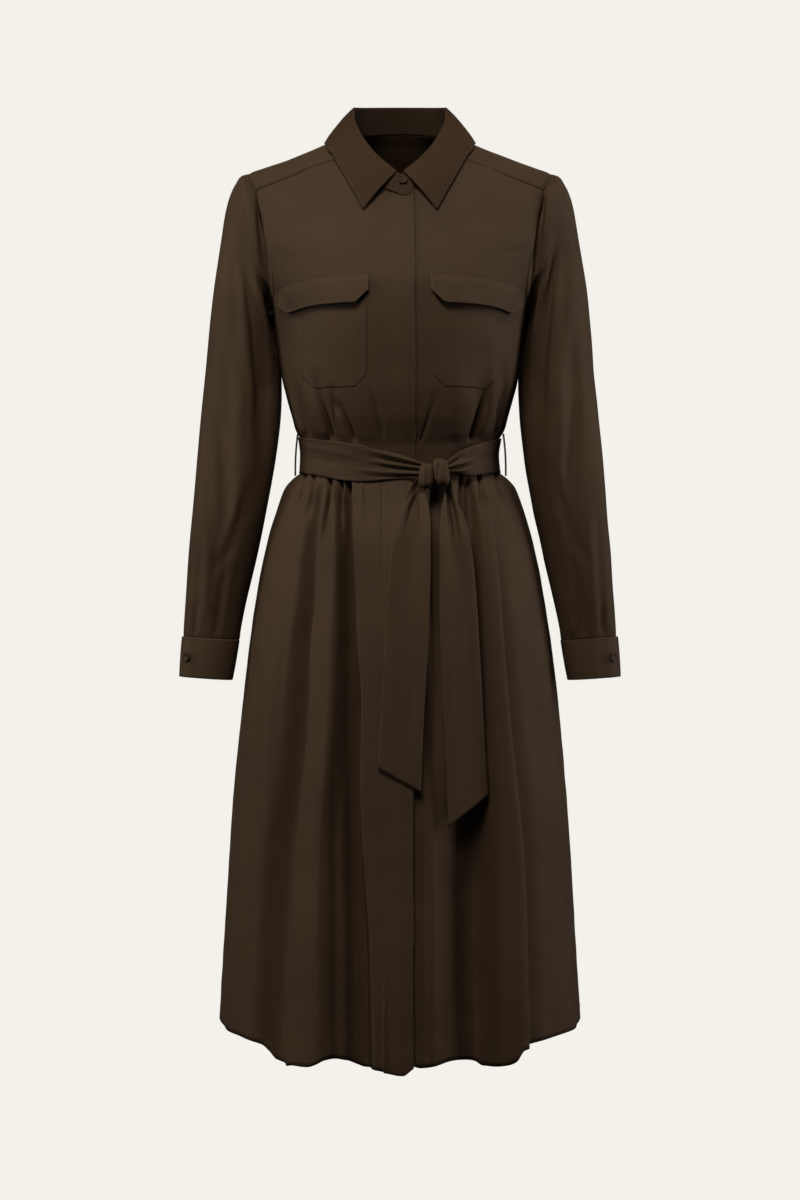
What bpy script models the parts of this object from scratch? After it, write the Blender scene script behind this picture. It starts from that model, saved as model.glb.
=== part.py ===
"""Shirt dress with a collar, yoke, chest pockets, cuffed sleeves, gathered skirt and tied sash.

The dress keeps the hollow form that it has when worn. Metres, +Z up, front towards -Y and the
wearer's left towards +X. The origin lies between the high points of the shoulders.
Angles go round the body from the centre front (0) over the wearer's left side (90) to the
centre back (180), and are negative on the wearer's right.
"""

import math

import bpy
import numpy as np
from mathutils import Vector
from mathutils.bvhtree import BVHTree

# Cloth and clearances
WALL = 0.0012
SEAM_GAP = 0.0003
YOKE_SEAM_GAP = 0.0009  # the chest turns into the shoulder here, so the walls lean together
LAYER_GAP = 0.0005
LAYER = WALL + LAYER_GAP

# Body form, a row for each level: height, half width, depth of the front and of the back from
# the side seam, and squareness (2 is an ellipse)
RINGS = (
    (0.024, 0.040, 0.006, 0.046, 2.4),
    (0.020, 0.048, 0.008, 0.050, 2.4),
    (0.013, 0.058, 0.011, 0.054, 2.4),
    (0.006, 0.070, 0.015, 0.058, 2.4),
    (-0.005, 0.096, 0.021, 0.063, 2.5),
    (-0.0125, 0.113, 0.026, 0.067, 2.6),
    (-0.020, 0.131, 0.031, 0.071, 2.6),
    (-0.0275, 0.150, 0.036, 0.075, 2.6),
    (-0.035, 0.171, 0.041, 0.079, 2.6),
    (-0.0425, 0.188, 0.047, 0.082, 2.6),
    (-0.064, 0.193, 0.060, 0.089, 2.6),
    (-0.083, 0.193, 0.0715, 0.094, 2.6),
    (-0.105, 0.190, 0.084, 0.098, 2.5),
    (-0.140, 0.182, 0.102, 0.102, 2.4),
    (-0.170, 0.172, 0.114, 0.104, 2.3),
    (-0.195, 0.163, 0.121, 0.104, 2.3),
    (-0.215, 0.158, 0.1225, 0.103, 2.3),
    (-0.250, 0.153, 0.120, 0.099, 2.3),
    (-0.300, 0.1465, 0.112, 0.093, 2.3),
    (-0.322, 0.141, 0.108, 0.091, 2.3),
    (-0.347, 0.1340, 0.103, 0.089, 2.3),
    (-0.359, 0.1305, 0.1005, 0.087, 2.3),
    (-0.370, 0.1238, 0.0955, 0.0825, 2.3),
    (-0.392, 0.1230, 0.0950, 0.0820, 2.3),
    (-0.412, 0.1236, 0.0955, 0.0825, 2.3),
    (-0.4225, 0.1360, 0.103, 0.094, 2.3),
    (-0.4320, 0.1430, 0.107, 0.102, 2.3),
    (-0.4475, 0.149, 0.112, 0.109, 2.25),
    (-0.4975, 0.165, 0.126, 0.128, 2.2),
    (-0.5475, 0.176, 0.136, 0.139, 2.2),
    (-0.6225, 0.1875, 0.1475, 0.150, 2.2),
    (-0.7225, 0.199, 0.158, 0.161, 2.2),
    (-0.8225, 0.208, 0.167, 0.170, 2.2),
    (-0.9725, 0.217, 0.178, 0.180, 2.2),
    (-1.130, 0.226, 0.187, 0.189, 2.2),
)
WAIST = -0.392
WAIST_DIP = 0.017  # the waist seam and belt sit lower at the centre front
WAIST_DIP_REACH = 0.13
BELT_ZONE, BELT_FADE = 0.021, 0.014  # the cloth lies flat this far each side of the waist seam
ROWS_BY_WAIST = (0.0, 0.0215, 0.0310, 0.0460)
SKIRT_ROWS = (0.0, 0.0200, 0.0305, 0.0440, 0.070, 0.115, 0.180, 0.260, 0.360, 0.470, 0.590, 0.7095)

# Folds, a row each: angle and half width in degrees at the start and at the end, the height of
# both, the rise in metres at the start, at mid length and at the end, and the lean, which makes
# the side away from the centre front steeper
SKIRT_TOP, SKIRT_END = -0.41, -1.11
SKIRT_FOLDS = (
    # start, end, width, end width, rise, middle, end rise, lean
    (-18.0, -13.0, 6.0, 9.0, 0.0015, 0.0030, 0.0040, 0.0),
    (-27.0, -20.5, 5.0, 8.0, -0.0045, -0.0110, -0.0160, 0.1),
    (-37.0, -31.5, 7.0, 11.5, 0.0040, 0.0110, 0.0190, 0.35),
    (-47.0, -46.0, 5.0, 8.5, -0.0035, -0.0060, -0.0100, 0.0),
    (-57.0, -57.0, 5.0, 8.0, 0.0030, 0.0035, 0.0060, 0.2),
    (-68.0, -70.0, 5.0, 8.0, -0.0020, -0.0030, -0.0050, 0.0),
    (19.0, 9.0, 5.0, 7.0, 0.0015, 0.0020, 0.0025, 0.0),
    (28.0, 18.5, 6.0, 9.0, -0.0040, -0.0120, -0.0170, 0.0),
    (37.0, 31.0, 7.0, 11.0, 0.0035, 0.0120, 0.0200, 0.30),
    (47.5, 44.5, 5.0, 8.0, -0.0040, -0.0060, -0.0100, 0.0),
    (58.0, 59.0, 5.0, 8.0, 0.0025, 0.0040, 0.0060, 0.2),
    (70.0, 72.0, 5.0, 8.0, -0.0020, -0.0030, -0.0045, 0.0),
    (104.0, 103.0, 7.0, 9.0, -0.0020, -0.0055, -0.0080, 0.0),
    (116.0, 118.0, 8.0, 11.0, 0.0030, 0.0100, 0.0170, -0.2),
    (130.0, 133.0, 7.0, 9.0, -0.0030, -0.0100, -0.0140, 0.0),
    (144.0, 147.0, 8.0, 10.0, 0.0030, 0.0100, 0.0150, 0.2),
    (158.0, 161.0, 7.0, 9.0, -0.0030, -0.0100, -0.0150, 0.0),
    (174.0, 176.0, 9.0, 11.0, 0.0030, 0.0110, 0.0180, 0.1),
    (189.0, 192.0, 7.0, 9.0, -0.0030, -0.0090, -0.0140, 0.0),
    (203.0, 206.0, 8.0, 10.0, 0.0030, 0.0090, 0.0140, -0.2),
    (218.0, 220.0, 7.0, 9.0, -0.0030, -0.0100, -0.0150, 0.0),
    (233.0, 234.0, 8.0, 11.0, 0.0030, 0.0110, 0.0180, 0.2),
    (249.0, 250.0, 7.0, 9.0, -0.0020, -0.0060, -0.0090, 0.0),
)
BODICE_TOP, BODICE_END = -0.31, -0.395
BODICE_FOLDS = (
    (-30.0, -33.0, 5.0, 5.0, 0.0, -0.0020, -0.0030, 0.0),
    (-42.0, -42.0, 6.0, 6.0, 0.0, 0.0030, 0.0030, 0.0),
    (-54.0, -53.0, 6.0, 6.0, 0.0, -0.0020, -0.0030, 0.0),
    (-66.0, -65.0, 6.0, 6.0, 0.0, 0.0025, 0.0025, 0.0),
    (29.0, 31.0, 6.0, 6.0, 0.0, 0.0020, 0.0020, 0.0),
    (41.0, 42.0, 6.0, 6.0, 0.0, -0.0025, -0.0030, 0.0),
    (54.0, 54.0, 6.0, 6.0, 0.0, 0.0030, 0.0030, 0.0),
    (66.0, 66.0, 6.0, 6.0, 0.0, -0.0020, -0.0025, 0.0),
    (126.0, 127.0, 8.0, 8.0, 0.0, 0.0030, 0.0030, 0.0),
    (142.0, 143.0, 8.0, 8.0, 0.0, -0.0030, -0.0030, 0.0),
    (158.0, 159.0, 8.0, 8.0, 0.0, 0.0030, 0.0030, 0.0),
    (176.0, 176.0, 9.0, 9.0, 0.0, -0.0030, -0.0030, 0.0),
    (194.0, 193.0, 9.0, 9.0, 0.0, 0.0030, 0.0030, 0.0),
    (212.0, 211.0, 9.0, 9.0, 0.0, -0.0030, -0.0030, 0.0),
    (230.0, 229.0, 8.0, 8.0, 0.0, 0.0030, 0.0030, 0.0),
)

# Edges of the bodice, as points of angle and height, or of distance from the centre and height
FRONT_NECK = ((0.0, -0.083), (0.020, -0.079), (0.040, -0.062), (0.055, -0.041), (0.064, -0.020))
SIDE_NECK = ((23.0, -0.020), (40.0, -0.0100), (65.0, 0.0), (90.0, 0.006))
BACK_NECK = ((90.0, 0.006), (112.0, 0.0110), (140.0, 0.0160), (160.0, 0.0190), (180.0, 0.020))
YOKE_SEAM = ((0.064, -0.020), (0.084, -0.0305), (0.1233, -0.0487), (0.155, -0.0600), (0.178, -0.068))
FRONT_ARMHOLE = (
    (64.2, -0.068), (61.5, -0.088), (61.0, -0.112), (62.5, -0.145),
    (64.5, -0.172), (70.0, -0.194), (79.0, -0.209), (90.0, -0.215),
)
TIP_TO_FRONT = ((90.0, -0.040), (82.0, -0.044), (73.0, -0.053), (64.2, -0.068))
TIP_TO_BACK = ((90.0, -0.040), (99.0, -0.046), (108.0, -0.063), (115.5, -0.095))
BACK_ARMHOLE = ((115.5, -0.095), (117.5, -0.125), (116.0, -0.160), (109.0, -0.193), (100.0, -0.209),
                (90.0, -0.215))
BACK_SEAM_HEIGHT = -0.095

# Centre front: the placket band lies over the edges of the right and left fronts
PLACKET_LEFT = 0.0175
PLACKET_RIGHT = -0.0195
FRONT_EDGE = -0.0175
FRONT_HEM = ((0.0, -1.113), (12.0, -1.109), (32.0, -1.108), (60.0, -1.103), (90.0, -1.101))
RIGHT_HEM_DROP = 0.007  # the overlap hangs lower than the front beneath it
RIGHT_HEM_DROP_ANGLE = 14.0
BACK_HEM = -1.103

# Cells along each panel
NECK_CELLS, SEAM_CELLS, SIDE_CELLS, ARMHOLE_CELLS = 6, 9, 7, 6
BACK_CELLS, YOKE_BACK_CELLS = 22, 7
TIP_FRONT_CELLS, TIP_BACK_CELLS = 3, 4
SKIRT_FRONT_CELLS, SKIRT_BACK_CELLS = 24, 42

# Sleeve sections: outer point and inner point (distance from the centre, height), half depth,
# and how far the arm swings forwards
SLEEVE_SECTIONS = (
    (0.2000, -0.0480, 0.1605, -0.2195, 0.0540, 0.000),
    (0.2105, -0.0610, 0.1595, -0.2240, 0.0560, 0.000),
    (0.2185, -0.0840, 0.1585, -0.2310, 0.0580, 0.001),
    (0.2250, -0.1220, 0.1565, -0.2440, 0.0600, 0.002),
    (0.2315, -0.1680, 0.1545, -0.2600, 0.0610, 0.003),
    (0.2375, -0.2220, 0.1520, -0.2840, 0.0610, 0.004),
    (0.2425, -0.2800, 0.1500, -0.3180, 0.0600, 0.006),
    (0.2480, -0.3400, 0.1510, -0.3560, 0.0580, 0.008),
    (0.2530, -0.4000, 0.1560, -0.4040, 0.0560, 0.011),
    (0.2570, -0.4600, 0.1655, -0.4590, 0.0530, 0.015),
    (0.2620, -0.5200, 0.1780, -0.5160, 0.0490, 0.020),
    (0.2655, -0.5750, 0.1905, -0.5720, 0.0440, 0.025),
    (0.2672, -0.6050, 0.1970, -0.6060, 0.0405, 0.027),
    (0.2675, -0.6165, 0.1988, -0.6205, 0.0370, 0.028),
)
SLEEVE_START = 0.0025
# Sleeve folds: angle round the sleeve (0 outside, 90 front, 180 inside), section where it
# starts and where it ends, angle there, half width and rise
SLEEVE_FOLDS = (
    (62.0, 1.0, 9.0, 82.0, 24.0, -0.0045),
    (100.0, 2.0, 12.0, 108.0, 26.0, 0.0040),
    (138.0, 3.0, 9.0, 140.0, 24.0, -0.0040),
    (30.0, 6.0, 13.0, 48.0, 24.0, 0.0030),
    (245.0, 2.0, 12.0, 255.0, 28.0, -0.0045),
    (285.0, 3.0, 13.0, 280.0, 26.0, 0.0040),
)
CUFF_TOP = (0.2680, -0.6170, 0.1985, -0.6215, 0.0355, 0.028)
CUFF_BOTTOM = (0.2705, -0.6665, 0.2065, -0.6710, 0.0345, 0.030)
CUFF_CELLS = 22
CUFF_LAP = 30.0
CUFF_LAP_ANGLE = 52.0
CUFF_LAP_LIFT = LAYER + SEAM_GAP
CUFF_BUTTON_TURN = 35.0

# Collar: roll line from the centre back to the side and on to the front, and the leaf's edge
ROLL_BACK = ((0.0, 0.048, 0.0535), (0.026, 0.046, 0.053), (0.046, 0.036, 0.0505), (0.0595, 0.014, 0.0455))
ROLL_FRONT = (
    (0.0595, 0.014, 0.0455), (0.0575, -0.006, 0.024), (0.0450, -0.030, -0.0045),
    (0.0270, -0.0480, -0.0285), (0.0045, -0.0600, -0.0490),
)
LEAF_BACK = ((180.0, 0.010), (155.0, 0.0085), (130.0, 0.005), (108.0, 0.0005), (90.0, -0.0020))
LEAF_FRONT = ((90.0, -0.0020), (60.0, -0.0075), (35.0, -0.020), (18.4, -0.040), (13.3, -0.0625),
              (10.6, -0.0815), (8.65, -0.1000))
LEAF_HALF_CELLS = 9
LEAF_ROWS = 4
LEAF_BULGE = 0.0030
LEAF_LIFT = 0.0048
STAND_INSET, STAND_FRONT_INSET = 0.0022, 0.0022
STAND_DROP = 0.0008
STAND_FOOT_GAP = 0.0006
STAND_LAP = 0.0030
STAND_END = ((0.0006, 0.0), (0.0080, 0.0010), (0.0070, 0.0040))  # reach and drop of each row

# Chest pockets and flaps: distances from the centre, and heights
POCKET_IN, POCKET_OUT = 0.0395, 0.118
POCKET_TOP, POCKET_BOTTOM, POCKET_CORNER = -0.197, -0.318, 0.015
FLAP_IN, FLAP_OUT = 0.0370, 0.1535
FLAP_ROWS = ((-0.2215, 0.0074), (-0.2055, 0.0062), (-0.1945, 0.0046), (-0.1850, 0.0021))  # height, lift
POCKET_LIFT = LAYER + 0.0007
PLACKET_LIFT = LAYER + 0.0009

# Sash: lift from the cloth; a row for each angle: middle height and half height
BELT_LIFT = 0.0048
BELT_START, BELT_END = 22.0, 376.0
BELT_ROWS = (
    (16.0, -0.4175, 0.0085), (22.0, -0.4135, 0.0070), (30.0, -0.4075, 0.0130),
    (42.0, -0.4035, 0.0180), (60.0, -0.3975, 0.0200), (90.0, -0.3925, 0.0210),
    (180.0, -0.3900, 0.0220), (270.0, -0.3920, 0.0218), (305.0, -0.3980, 0.0218),
    (325.0, -0.4045, 0.0218), (338.0, -0.4100, 0.0195), (350.0, -0.4160, 0.0130),
    (360.0, -0.4170, 0.0095), (368.0, -0.4175, 0.0085), (376.0, -0.4175, 0.0080),
)
BELT_CELLS = 52
KNOT_CENTRE = (0.0408, -0.1125, -0.4237)
KNOT_SIZE = (0.0440, 0.0260, 0.0470)
KNOT_GROOVE = 0.0050
KNOT_LEAN = 0.22  # its lower side stands forwards over the skirt's gathers
# Sash tails, a row for each level: height, left edge, right edge, and depth of the valley
TAIL_RIGHT_ROWS = (
    (-0.4490, 0.0080, 0.0330, 0.0060), (-0.4600, 0.0040, 0.0350, 0.0075),
    (-0.4850, -0.0045, 0.0362, 0.0075), (-0.5200, -0.0110, 0.0362, 0.0050),
    (-0.5700, -0.0150, 0.0350, 0.0025), (-0.6300, -0.0180, 0.0325, 0.0012),
    (-0.7000, -0.0220, 0.0280, 0.0005), (-0.7670, -0.0262, 0.0245, 0.0000),
)
TAIL_LEFT_ROWS = (
    (-0.4490, 0.0520, 0.0655, 0.0050), (-0.4600, 0.0500, 0.0700, 0.0065),
    (-0.4850, 0.0475, 0.0800, 0.0070), (-0.5200, 0.0465, 0.0860, 0.0050),
    (-0.5700, 0.0465, 0.0905, 0.0025), (-0.6400, 0.0480, 0.0945, 0.0012),
    (-0.7200, 0.0520, 0.0990, 0.0005), (-0.8014, 0.0565, 0.1045, 0.0000),
)
TAIL_POINT = {"right": -0.0290, "left": 0.0350}  # how much lower one corner of the end is
TAIL_CELLS, TAIL_ROW_COUNT = 4, 13
TAIL_CLEARANCE = 0.0022
TAIL_KNOT_OFF = 0.0060  # under the knot the tails stand this much further off the skirt

# Thread loops and buttons
LOOP_RADIUS = 0.0008
LOOP_GAP = 0.0008
LOOP_TOP, LOOP_BOTTOM, LOOP_BOW = -0.3650, -0.4190, 0.0024
BUTTON_RADIUS, BUTTON_THICK = 0.0056, 0.0024
BUTTON_GAP = 0.0004
BUTTON_AT = (0.0035, -0.0640)

CLOTH_COLOUR = (0.052, 0.034, 0.023, 1.0)
BUTTON_COLOUR = (0.020, 0.014, 0.011, 1.0)


def clear_scene():
    for obj in list(bpy.data.objects):
        bpy.data.objects.remove(obj, do_unlink=True)


def material(name, colour, roughness):
    mat = bpy.data.materials.new(name)
    mat.use_nodes = True
    shader = mat.node_tree.nodes["Principled BSDF"]
    shader.inputs["Base Color"].default_value = colour
    shader.inputs["Roughness"].default_value = roughness
    return mat


def eased(rows, column, at):
    """The column of a table at a place between its rows, on a curve that never overshoots."""
    xs = [row[0] for row in rows]
    ys = [row[column] for row in rows]
    if xs[0] > xs[-1]:
        xs, ys = xs[::-1], ys[::-1]
    if at <= xs[0]:
        return ys[0]
    if at >= xs[-1]:
        return ys[-1]
    i = int(np.searchsorted(xs, at, side="right")) - 1
    step = [b - a for a, b in zip(xs, xs[1:])]
    rise = [(b - a) / s for a, b, s in zip(ys, ys[1:], step)]

    def slope(k):
        if k in (0, len(xs) - 1):
            return rise[0] if k == 0 else rise[-1]
        before, after = rise[k - 1], rise[k]
        return 0.0 if before * after <= 0 else 2 * before * after / (before + after)

    t = (at - xs[i]) / step[i]
    h00, h10 = (1 + 2 * t) * (1 - t) ** 2, t * (1 - t) ** 2
    h01, h11 = t * t * (3 - 2 * t), t * t * (t - 1)
    return h00 * ys[i] + h10 * step[i] * slope(i) + h01 * ys[i + 1] + h11 * step[i] * slope(i + 1)


def signed_power(value, power):
    return math.copysign(abs(value) ** power, value)


def waist_dip(angle):
    return WAIST_DIP * max(0.0, math.cos(math.radians(angle))) ** 1.5


def waist_height(angle):
    return WAIST - waist_dip(angle)


def ring_at(angle, height):
    """Half width, depth and squareness at a level, with the waist lower at the centre front."""
    away = min(1.0, abs(height - waist_height(angle)) / WAIST_DIP_REACH)
    level = height + waist_dip(angle) * (1 - away * away * (3 - 2 * away))
    depth_column = 2 if math.cos(math.radians(angle)) > 0 else 3
    return tuple(eased(RINGS, column, level) for column in (1, depth_column, 4))


def fold_rise(folds, top, end, angle, height):
    """How far the folds move the cloth outwards here."""
    along = min(1.0, max(0.0, (height - top) / (end - top)))
    total = 0.0
    for start, stop, wide, end_wide, rise, middle, end_rise, lean in folds:
        centre = start + (stop - start) * along
        width = wide + (end_wide - wide) * along
        away = (angle - centre + 180.0) % 360.0 - 180.0
        side = math.copysign(1.0, away) * math.copysign(1.0, centre if abs(centre) < 180 else 1)
        reach = width * (1 - lean * side)
        if abs(away) < reach:
            amount = eased(((0.0, rise), (0.4, middle), (1.0, end_rise)), 1, along)
            total += amount * 0.5 * (1 + math.cos(math.pi * away / reach))
    return total


def body_point(angle, height, lift=0.0):
    """The point of the cloth's outer face at this angle and height, moved out by lift."""
    width, depth, power = ring_at(angle, height)
    sine, cosine = math.sin(math.radians(angle)), math.cos(math.radians(angle))
    x = width * signed_power(sine, 2 / power)
    y = -depth * signed_power(cosine, 2 / power)
    out = Vector((
        signed_power(x / width, power - 1) / width,
        signed_power(y / depth, power - 1) / depth,
        0.0,
    )).normalized()
    from_waist = height - waist_height(angle)
    free = min(1.0, max(0.0, (abs(from_waist) - BELT_ZONE) / BELT_FADE))
    free *= free * (3 - 2 * free)
    if from_waist < 0:
        lift += free * fold_rise(SKIRT_FOLDS, SKIRT_TOP, SKIRT_END, angle, height)
    elif height < BODICE_TOP:
        lift += free * fold_rise(BODICE_FOLDS, BODICE_TOP, BODICE_END, angle, height)
    return Vector((x, y, height)) + out * lift


def angle_of(distance, height):
    """The angle on the front whose point is this far from the centre."""
    angle = 0.0
    for _ in range(4):
        width, _, power = ring_at(angle, height)
        ratio = max(-1.0, min(1.0, distance / width))
        angle = math.degrees(math.asin(signed_power(ratio, power / 2)))
    return angle


def curve_points(points, count):
    """A smooth curve through points of two or three numbers, cut into count equal cells.
    Points of two numbers are angle and height, and the cells are equal on the cloth."""
    knots = [np.array(p, float) for p in points]
    knots = [2 * knots[0] - knots[1]] + knots + [2 * knots[-1] - knots[-2]]
    dense = []
    for a, b, c, d in zip(knots, knots[1:], knots[2:], knots[3:]):
        for t in np.linspace(0, 1, 12, endpoint=False):
            dense.append(0.5 * (
                2 * b + (c - a) * t + (2 * a - 5 * b + 4 * c - d) * t ** 2
                + (3 * b - a - 3 * c + d) * t ** 3
            ))
    dense.append(knots[-2])
    dense = np.array(dense)
    placed = dense if dense.shape[1] == 3 else np.array([body_point(*p) for p in dense])
    length = np.concatenate([[0.0], np.cumsum(np.linalg.norm(np.diff(placed, axis=0), axis=1))])
    at = np.linspace(0, length[-1], count + 1)
    return np.stack([np.interp(at, length, column) for column in dense.T], axis=1)


def heights_from_waist(waist, top, cells):
    """Heights of a bodice edge's rows, close together where the cloth bells out over the belt."""
    close = [waist + step for step in ROWS_BY_WAIST]
    return close[:-1] + list(np.linspace(close[-1], top, cells + 2 - len(close)))


def front_curve(points):
    """Points of distance and height on the front, as angle and height."""
    return [(angle_of(distance, height), height) for distance, height in points]


def patch(bottom, top, start, end, fade=1):
    """Rows of points of angle and height that fill the four edges of a panel. A higher fade
    keeps the end's curve nearer to the end."""
    rows, cells = len(start) - 1, len(bottom) - 1
    grid = np.zeros((rows + 1, cells + 1, 2))
    for j in range(rows + 1):
        t = j / rows
        for i in range(cells + 1):
            s = (i / cells) ** fade
            corners = (
                (1 - s) * (1 - t) * bottom[0] + s * (1 - t) * bottom[-1]
                + (1 - s) * t * top[0] + s * t * top[-1]
            )
            grid[j, i] = (1 - t) * bottom[i] + t * top[i] + (1 - s) * start[j] + s * end[j] - corners
    return grid


def cloth(name, rows, mat, collection, closed=False):
    """A sheet of cloth from rows of points, given its thickness away from its outer face."""
    points = [tuple(p) for row in rows for p in row]
    wide = len(rows[0])
    cells = wide if closed else wide - 1
    faces = []
    for j in range(len(rows) - 1):
        for i in range(cells):
            a, b = j * wide + i, j * wide + (i + 1) % wide
            faces.append((a, b, b + wide, a + wide))
    mesh = bpy.data.meshes.new(name)
    mesh.from_pydata(points, [], faces)
    mesh.materials.append(mat)
    mesh.shade_smooth()
    obj = bpy.data.objects.new(name, mesh)
    collection.objects.link(obj)
    wall = obj.modifiers.new("Wall", "SOLIDIFY")
    wall.thickness = WALL
    wall.offset = -1.0
    wall.use_rim = True
    return obj


def on_body(grid, lift=0.0):
    return [[body_point(angle, height, lift) for angle, height in row] for row in grid]


def mirrored(grid):
    """The panel on the wearer's right, its columns turned round to keep its outer face out."""
    turned = grid[:, ::-1].copy()
    turned[..., 0] *= -1
    return turned


def surface_of(*panels):
    """A search tree over the outer faces of panels, before they have their thickness."""
    points, faces = [], []
    for obj in panels:
        first = len(points)
        points += [v.co.copy() for v in obj.data.vertices]
        for polygon in obj.data.polygons:
            a, b, c, d = (first + v for v in polygon.vertices)
            faces += [(a, b, c), (a, c, d)]
    return BVHTree.FromPolygons(points, faces)


def laid_on(tree, x, height, lift):
    """The point in front of the cloth at this place, moved out along the cloth's normal."""
    place, normal, _, _ = tree.ray_cast(Vector((x, -1.0, height)), Vector((0.0, 1.0, 0.0)))
    if normal.y > 0:
        normal = -normal
    return place + normal * lift


# Bodice


def bodice_front_grid(edge):
    """The front on the wearer's left, from its edge at the centre to the side seam."""
    seam = SEAM_GAP / 2
    across = 90.0 - math.degrees(seam / 0.15)
    edge_rows = []
    rows = SIDE_CELLS + ARMHOLE_CELLS
    bottom_height = waist_height(0) + seam
    top_height = eased(FRONT_NECK, 1, max(edge, 0.0))
    for height in heights_from_waist(bottom_height, top_height, rows):
        edge_rows.append((angle_of(edge, height), height))
    neck = [(edge, top_height)] + [p for p in FRONT_NECK if p[0] > max(edge, 0.0) + 0.004]
    top = np.concatenate([
        curve_points(front_curve(neck), NECK_CELLS),
        curve_points(front_curve(YOKE_SEAM), SEAM_CELLS)[1:],
    ])
    top[NECK_CELLS:, 1] -= YOKE_SEAM_GAP / 2
    armhole = curve_points(FRONT_ARMHOLE[::-1], ARMHOLE_CELLS)
    side = [(across, h) for h in heights_from_waist(WAIST + seam, armhole[0][1], SIDE_CELLS)]
    end = np.concatenate([side[:-1], armhole])
    end[SIDE_CELLS, 0] = across
    end[-1] = top[-1]
    cells = NECK_CELLS + SEAM_CELLS
    bottom = [
        (angle, waist_height(angle) + seam)
        for angle in np.linspace(edge_rows[0][0], across, cells + 1)
    ]
    return patch(np.array(bottom), top, np.array(edge_rows), end)


def bodice_back_grid():
    seam = SEAM_GAP / 2
    across = 90.0 + math.degrees(seam / 0.15)
    armhole = curve_points(BACK_ARMHOLE[::-1], ARMHOLE_CELLS)
    armhole[0, 0] = across
    armhole[-1, 1] -= seam
    side = [(across, h) for h in heights_from_waist(WAIST + seam, armhole[0][1], SIDE_CELLS)]
    start = np.concatenate([side[:-1], armhole])
    end = start * (-1, 1) + (360.0, 0)
    bottom = np.array([(a, WAIST + seam) for a in np.linspace(across, 360 - across, BACK_CELLS + 1)])
    first = start[-1][0]
    top = np.array([(a, BACK_SEAM_HEIGHT - seam) for a in np.linspace(first, 360 - first, BACK_CELLS + 1)])
    return patch(bottom, top, start, end)


def yoke_grid():
    """Both halves, from the front seam on the wearer's left over the back to the right."""
    seam = SEAM_GAP / 2
    first = BACK_ARMHOLE[0][0]
    back_seam = np.array([
        (a, BACK_SEAM_HEIGHT + seam) for a in np.linspace(180.0, first, YOKE_BACK_CELLS + 1)
    ])
    outer = np.concatenate([
        back_seam,
        curve_points(TIP_TO_BACK[::-1], TIP_BACK_CELLS)[1:],
        curve_points(TIP_TO_FRONT, TIP_FRONT_CELLS)[1:],
    ])
    outer[-1, 1] += YOKE_SEAM_GAP / 2
    back_cells = YOKE_BACK_CELLS + TIP_BACK_CELLS
    inner = np.concatenate([
        curve_points(BACK_NECK[::-1], back_cells),
        curve_points(SIDE_NECK[::-1], TIP_FRONT_CELLS)[1:],
    ])
    inner[-1, 1] += YOKE_SEAM_GAP / 2
    centre = np.linspace(outer[0], inner[0], SEAM_CELLS + 1)
    front = curve_points(front_curve(YOKE_SEAM), SEAM_CELLS)[::-1] + (0, YOKE_SEAM_GAP / 2)
    inner[-1], outer[-1] = front[-1], front[0]
    left = patch(outer, inner, centre, front, fade=5)[:, ::-1]
    right = left[:, ::-1] * (-1, 1) + (360.0, 0)
    return np.concatenate([left, right[:, 1:]], axis=1)


def armhole_loop(front, yoke, back):
    """The edge that the left sleeve is set into, from the shoulder's tip round by the front."""
    tip_front = [yoke[0][i] for i in range(TIP_FRONT_CELLS, 0, -1)]
    down = [front[j][-1] for j in range(SIDE_CELLS + ARMHOLE_CELLS, SIDE_CELLS, -1)]
    up = [back[j][0] for j in range(SIDE_CELLS, SIDE_CELLS + ARMHOLE_CELLS)]
    tip_back = [yoke[0][i] for i in range(TIP_FRONT_CELLS + TIP_BACK_CELLS, TIP_FRONT_CELLS, -1)]
    return [Vector(p) for p in tip_front + down + up + tip_back]


# Sleeves and cuffs


def section_point(section, turn, mirror=1.0, lift=0.0):
    """A point of a sleeve's or cuff's section: 0 outside, 90 front, 180 inside, 270 back."""
    out_x, out_z, in_x, in_z, depth, forward = section
    half = Vector(((out_x - in_x) / 2, 0.0, (out_z - in_z) / 2))
    centre = Vector(((out_x + in_x) / 2, -forward, (out_z + in_z) / 2))
    cosine, sine = math.cos(math.radians(turn)), math.sin(math.radians(turn))
    point = centre + half * cosine * (1 + lift / half.length) - Vector((0, (depth + lift) * sine, 0))
    return Vector((point.x * mirror, point.y, point.z))


def loop_turns(loop, underarm):
    """The turn of each point of the armhole: by its length from the tip and from the underarm."""
    steps = [(b - a).length for a, b in zip(loop, loop[1:] + loop[:1])]
    front, back = sum(steps[:underarm]), sum(steps[underarm:])
    turns = []
    for i in range(len(loop)):
        if i <= underarm:
            turns.append(180.0 * sum(steps[:i]) / front)
        else:
            turns.append(180.0 + 180.0 * sum(steps[underarm:i]) / back)
    return turns


def sleeve_fold(turn, place):
    total = 0.0
    for start, first, last, stop, width, rise in SLEEVE_FOLDS:
        if not first < place < last:
            continue
        along = (place - first) / (last - first)
        away = (turn - start - (stop - start) * along + 180.0) % 360.0 - 180.0
        if abs(away) < width:
            total += rise * math.sin(math.pi * along) * 0.5 * (1 + math.cos(math.pi * away / width))
    return total


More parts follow.
